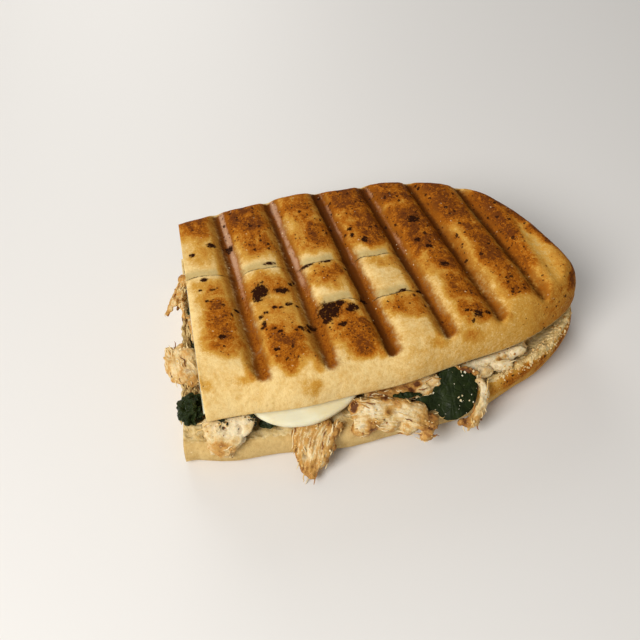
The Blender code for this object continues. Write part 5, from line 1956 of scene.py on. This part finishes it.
class PANINI_OT_chicken(bpy.types.Operator):
    """The pieces of chicken, torn, fibrous and browned at their edges"""

    bl_idname = "panini.chicken"
    bl_label = "Chicken"

    def execute(self, context):
        look = context.scene.panini_filling
        for seed, (node, piece) in enumerate(MEAT.items()):
            layer = node == "chicken_layer"
            name = node + "_meat"
            voxel = LAYER_SPACING if layer else look.voxel
            mesh = refined(node, name, voxel, piece["lumps"], piece.get("thin", 0.0) * MM)
            shave(mesh, piece.get("shaved", ()))
            grain = tear(mesh, 50 + 5 * seed, piece["stringy"], piece["rough"] * MM)
            points = points_of(mesh)
            reach = np.abs(grain).max(0)
            rim = np.maximum(np.abs(grain[:, 0]) / reach[0], np.abs(grain[:, 1]) / reach[1])
            base, edges = piece["tone"]
            seared = base + edges * smooth_step(0.4, 1.0, rim)
            # Browner spots, and with negative strength paler ones that are painted highlights
            for x, y, z, radius, strength in piece.get("marks", ()):
                gap = np.linalg.norm(points - SHIFT - np.array((x, y, z)) * MM, axis=1)
                seared = seared + strength * np.clip(1.4 - gap / (radius * MM), 0.0, 1.0)
            set_attribute(mesh, "seared", seared)
            loose = np.clip(relief(points, 4.5 * MM, 70 + seed) * 1.6 + 0.25, 0.0, 1.0)
            set_attribute(mesh, "crumbs", np.clip(loose * (0.35 + rim), 0.0, 1.0))
            set_attribute(mesh, "strands", np.full(len(points), piece["stringy"]))
            obj = new_object(name, mesh, [material("chicken_meat")])
            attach(obj, "root")
            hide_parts(node)
            if layer:
                continue
            strew(mesh, node + "_crumbs", 0.5e6, 0.16 * MM, 0.5 * MM, seed, "meat_crumbs")
            sizes = (2.0 * MM, 6.5 * MM, look.strand_thickness)
            lay_strands(mesh, node + "_strands", look.strands * 1.0e4, *sizes, seed, "meat_crumbs")
        self.add_herbs()
        self.add_shreds()
        return {"FINISHED"}

    @staticmethod
    def add_herbs():
        """Patches of green flecks on the front left piece."""
        host = bpy.data.objects["chicken_front_left_meat"].data.copy()
        points = points_of(host) - SHIFT
        spread = np.zeros(len(points))
        for x, y, radius, share in HERBS:
            gap = np.hypot(points[:, 0] - x * MM, points[:, 1] - y * MM)
            near = (gap < radius * MM) * (points[:, 2] > HERBS_ABOVE)
            spread = np.maximum(spread, share * near)
        set_attribute(host, "crumbs", spread)
        strew(host, "herbs", 2.2e6, 0.2 * MM, 0.75 * MM, 61, "herb_flecks")
        bpy.data.meshes.remove(host)

    @staticmethod
    def add_shreds():
        """Shreds of filling on the ledge that the bottom bread leaves at the cut."""
        host = bpy.data.objects["bottom_bread"].data.copy()
        x, y, z = (points_of(host) - SHIFT).T
        ledge = (z > LEDGE_Z) & (x < TOP_OUTLINE["cut_x"]) & (y > LEDGE_Y[0]) & (y < LEDGE_Y[1])
        set_attribute(host, "strands", ledge * 1.0)
        set_attribute(host, "run", np.tile((0.12, 1.0, 0.12), (len(x), 1)))
        lay_strands(host, "cut_shreds", 0.5e6, 3.5 * MM, 9.0 * MM, 1.1 * MM, 62, "filling_shreds")
        green = ledge & (x > GREENS_X) & (y > GREENS_Y[0]) & (y < GREENS_Y[1])
        set_attribute(host, "strands", green * 1.0)
        lay_strands(host, "cut_greens", 0.55e6, 3.0 * MM, 7.0 * MM, 1.2 * MM, 63, "herb_flecks")
        bpy.data.meshes.remove(host)


def smooth_ring(corners, count):
    """A closed smooth curve through corners, with count points between each two."""
    corners = np.array(corners)
    ring = []
    for i in range(len(corners)):
        a, b, c, d = (corners[(i + k) % len(corners)] for k in (-1, 0, 1, 2))
        for t in np.arange(count) / count:
            cubic = 2.0 * b + (c - a) * t + (2.0 * a - 5.0 * b + 4.0 * c - d) * t * t
            ring.append((cubic + (3.0 * b - a - 3.0 * c + d) * t**3) / 2.0)
    return np.array(ring)


def leaf_mesh(name):
    """The front leaf: thin, cupped, pleated and veined, with its lobe over the chicken."""
    ring = smooth_ring(LEAF_EDGE, 16)
    middle = np.array(LEAF_MIDDLE)
    share = np.linspace(0.0, 1.0, LEAF_RINGS + 1)[1:]
    plan = (middle + (ring - middle)[None] * share[:, None, None]).reshape(-1, 2)
    plan = np.concatenate([[middle], plan])
    x, y = plan.T
    flat = np.column_stack([x, y, np.zeros(len(x))])
    edge = np.concatenate([[0.0], np.repeat(share, len(ring))])
    back_x, back_y_mm, back_z = LEAF_BACK
    left = smooth_step(8.0, 0.0, x)
    height = back_z + (y - back_y_mm) * LEAF_SLOPE - LEAF_CUP * (x - back_x) ** 2
    height = height + LOBE_LIFT * left
    height = height + 0.9 * relief(flat, 6.5, 71) + 0.35 * relief(flat, 2.4, 72)
    height = height + 0.7 * edge**6 * relief(flat, 3.2, 73)
    along, across = -(y - back_y_mm), x - LEAF_RIB_X
    rib = np.exp(-((across / 0.5) ** 2))
    from_side_rib = (along - 0.7 * np.abs(across)) % SIDE_RIB_PITCH - SIDE_RIB_PITCH / 2.0
    side_ribs = np.exp(-((from_side_rib / 0.32) ** 2))
    height = height - 0.16 * rib - 0.07 * side_ribs * (1.0 - edge)
    half = LEAF_HALF * np.sqrt(np.clip(1.0 - edge**8, 0.0, 1.0))
    points = [np.column_stack([x, y, height + half]), np.column_stack([x, y, height - half])]
    count = len(ring)
    faces = []
    for layer in (0, 1):
        first = layer * len(plan)
        fan = [(first, first + 1 + j, first + 1 + (j + 1) % count) for j in range(count)]
        for r in range(LEAF_RINGS - 1):
            a = first + 1 + r * count
            for j in range(count):
                k = (j + 1) % count
                fan.append((a + j, a + count + j, a + count + k, a + k))
        faces += fan if layer == 0 else [face[::-1] for face in fan]
    mesh = bpy.data.meshes.new(name)
    mesh.from_pydata((np.concatenate(points) * MM).tolist(), [], faces)
    weld(mesh)
    return mesh


class PANINI_OT_spinach(bpy.types.Operator):
    """The wilted spinach: the leaf, the clump at the cut, the bits and the layer"""

    bl_idname = "panini.spinach"
    bl_label = "Spinach"

    def execute(self, context):
        for seed, (node, (voxel, pleats, wet)) in enumerate(SPINACH.items()):
            mesh = refined(node, node + "_wilted", voxel)
            points, normals = points_of(mesh), normals_of(mesh)
            rise = pleats * (0.5 - 2.0 * np.abs(relief(points, 2.4 * MM, 90 + seed)))
            rise = rise + 0.5 * pleats * relief(points, 1.1 * MM, 95 + seed)
            set_points(mesh, points + normals * rise[:, None])
            set_attribute(mesh, "wet", np.full(len(points), wet))
            self.add(node, mesh)
        mesh = leaf_mesh("spinach_leaf_wilted")
        set_attribute(mesh, "wet", np.full(len(mesh.vertices), LEAF_WET))
        put_in_frame(mesh)
        self.add("spinach_leaf", mesh)
        set_attribute(mesh, "crumbs", normals_of(mesh)[:, 2] > 0.2)
        strew(mesh, "leaf_specks", 0.08e6, 0.12 * MM, 0.42 * MM, 5, "pale_specks")
        return {"FINISHED"}

    @staticmethod
    def add(node, mesh):
        obj = new_object(node + "_wilted", mesh, [material("wilted_spinach")])
        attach(obj, "root")
        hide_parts(node)


class PANINI_OT_stage(bpy.types.Operator):
    """The floor, the studio lights and the camera at the photograph's angle"""

    bl_idname = "panini.stage"
    bl_label = "Stage"

    def execute(self, context):
        look = context.scene.panini_stage
        bpy.ops.mesh.primitive_plane_add(size=FLOOR_SIZE)
        floor = context.object
        floor.name = "floor"
        floor.location.z = -FLOOR_DROP
        finish = Finish("floor")
        finish.set(Base_Color=(*look.floor, 1.0), Roughness=0.5)
        floor.data.materials.append(finish.material)
        self.add_light("key", *KEY_LIGHT, look.key_power)
        self.add_light("back", *BACK_LIGHT, look.back_power)
        world = bpy.data.worlds.new("studio")
        world.use_nodes = True
        sky = world.node_tree.nodes["Background"]
        sky.inputs["Color"].default_value = SKY_TONE
        sky.inputs["Strength"].default_value = look.sky
        context.scene.world = world
        self.add_camera(context.scene)
        return {"FINISHED"}

    @staticmethod
    def add_light(name, place, size, power):
        data = bpy.data.lights.new(name, "AREA")
        data.shape = "DISK"
        data.size = size
        data.energy = power
        data.color = LIGHT_TONE
        light = bpy.data.objects.new(name, data)
        light.location = place
        aim = Vector(LIGHT_AIM) - Vector(place)
        light.rotation_euler = aim.to_track_quat("-Z", "Y").to_euler()
        bpy.context.scene.collection.objects.link(light)

    @staticmethod
    def add_camera(scene):
        data = bpy.data.cameras.new("camera")
        data.lens = CAMERA_LENS
        data.sensor_width = CAMERA_SENSOR
        data.clip_start, data.clip_end = 0.01, 10.0
        camera = bpy.data.objects.new("camera", data)
        camera.location = Vector(CAMERA_PLACE) + SHIFT
        turn = math.radians(CAMERA_AZIMUTH)
        tilt = math.radians(90.0 - CAMERA_ELEVATION)
        camera.rotation_euler = (tilt, 0.0, turn)
        scene.collection.objects.link(camera)
        scene.camera = camera


STEPS = (
    PANINI_OT_top_bread,
    PANINI_OT_bottom_bread,
    PANINI_OT_cheese,
    PANINI_OT_chicken,
    PANINI_OT_spinach,
    PANINI_OT_stage,
)


class PANINI_PT_pieces(bpy.types.Panel):
    """Lists the pieces in the order in which they are made"""

    bl_idname = "PANINI_PT_pieces"
    bl_label = "Panini Half"
    bl_space_type = "VIEW_3D"
    bl_region_type = "UI"
    bl_category = "Panini"

    def draw(self, context):
        scene = context.scene
        for look in (scene.panini_crust, scene.panini_filling, scene.panini_stage):
            box = self.layout.box()
            for key in look.__annotations__:
                box.prop(look, key)
        for step in STEPS:
            self.layout.operator(step.bl_idname)


LOOKS = {"panini_crust": CrustLook, "panini_filling": FillingLook, "panini_stage": StageLook}


def register():
    for entry in (*LOOKS.values(), *STEPS, PANINI_PT_pieces):
        bpy.utils.register_class(entry)
    for key, look in LOOKS.items():
        setattr(bpy.types.Scene, key, PointerProperty(type=look))


def unregister():
    for key in LOOKS:
        delattr(bpy.types.Scene, key)
    for entry in (PANINI_PT_pieces, *STEPS[::-1], *LOOKS.values()):
        bpy.utils.unregister_class(entry)


def main():
    register()
    for old in [o for o in bpy.data.objects if o.type in ("CAMERA", "LIGHT") or o.name == "Cube"]:
        bpy.data.objects.remove(old)
    bpy.context.scene.view_settings.view_transform = "Standard"
    bpy.ops.panini.top_bread()
    bpy.ops.panini.bottom_bread()
    bpy.ops.panini.cheese()
    bpy.ops.panini.chicken()
    bpy.ops.panini.spinach()
    bpy.ops.panini.stage()


if __name__ == "__main__":
    main()
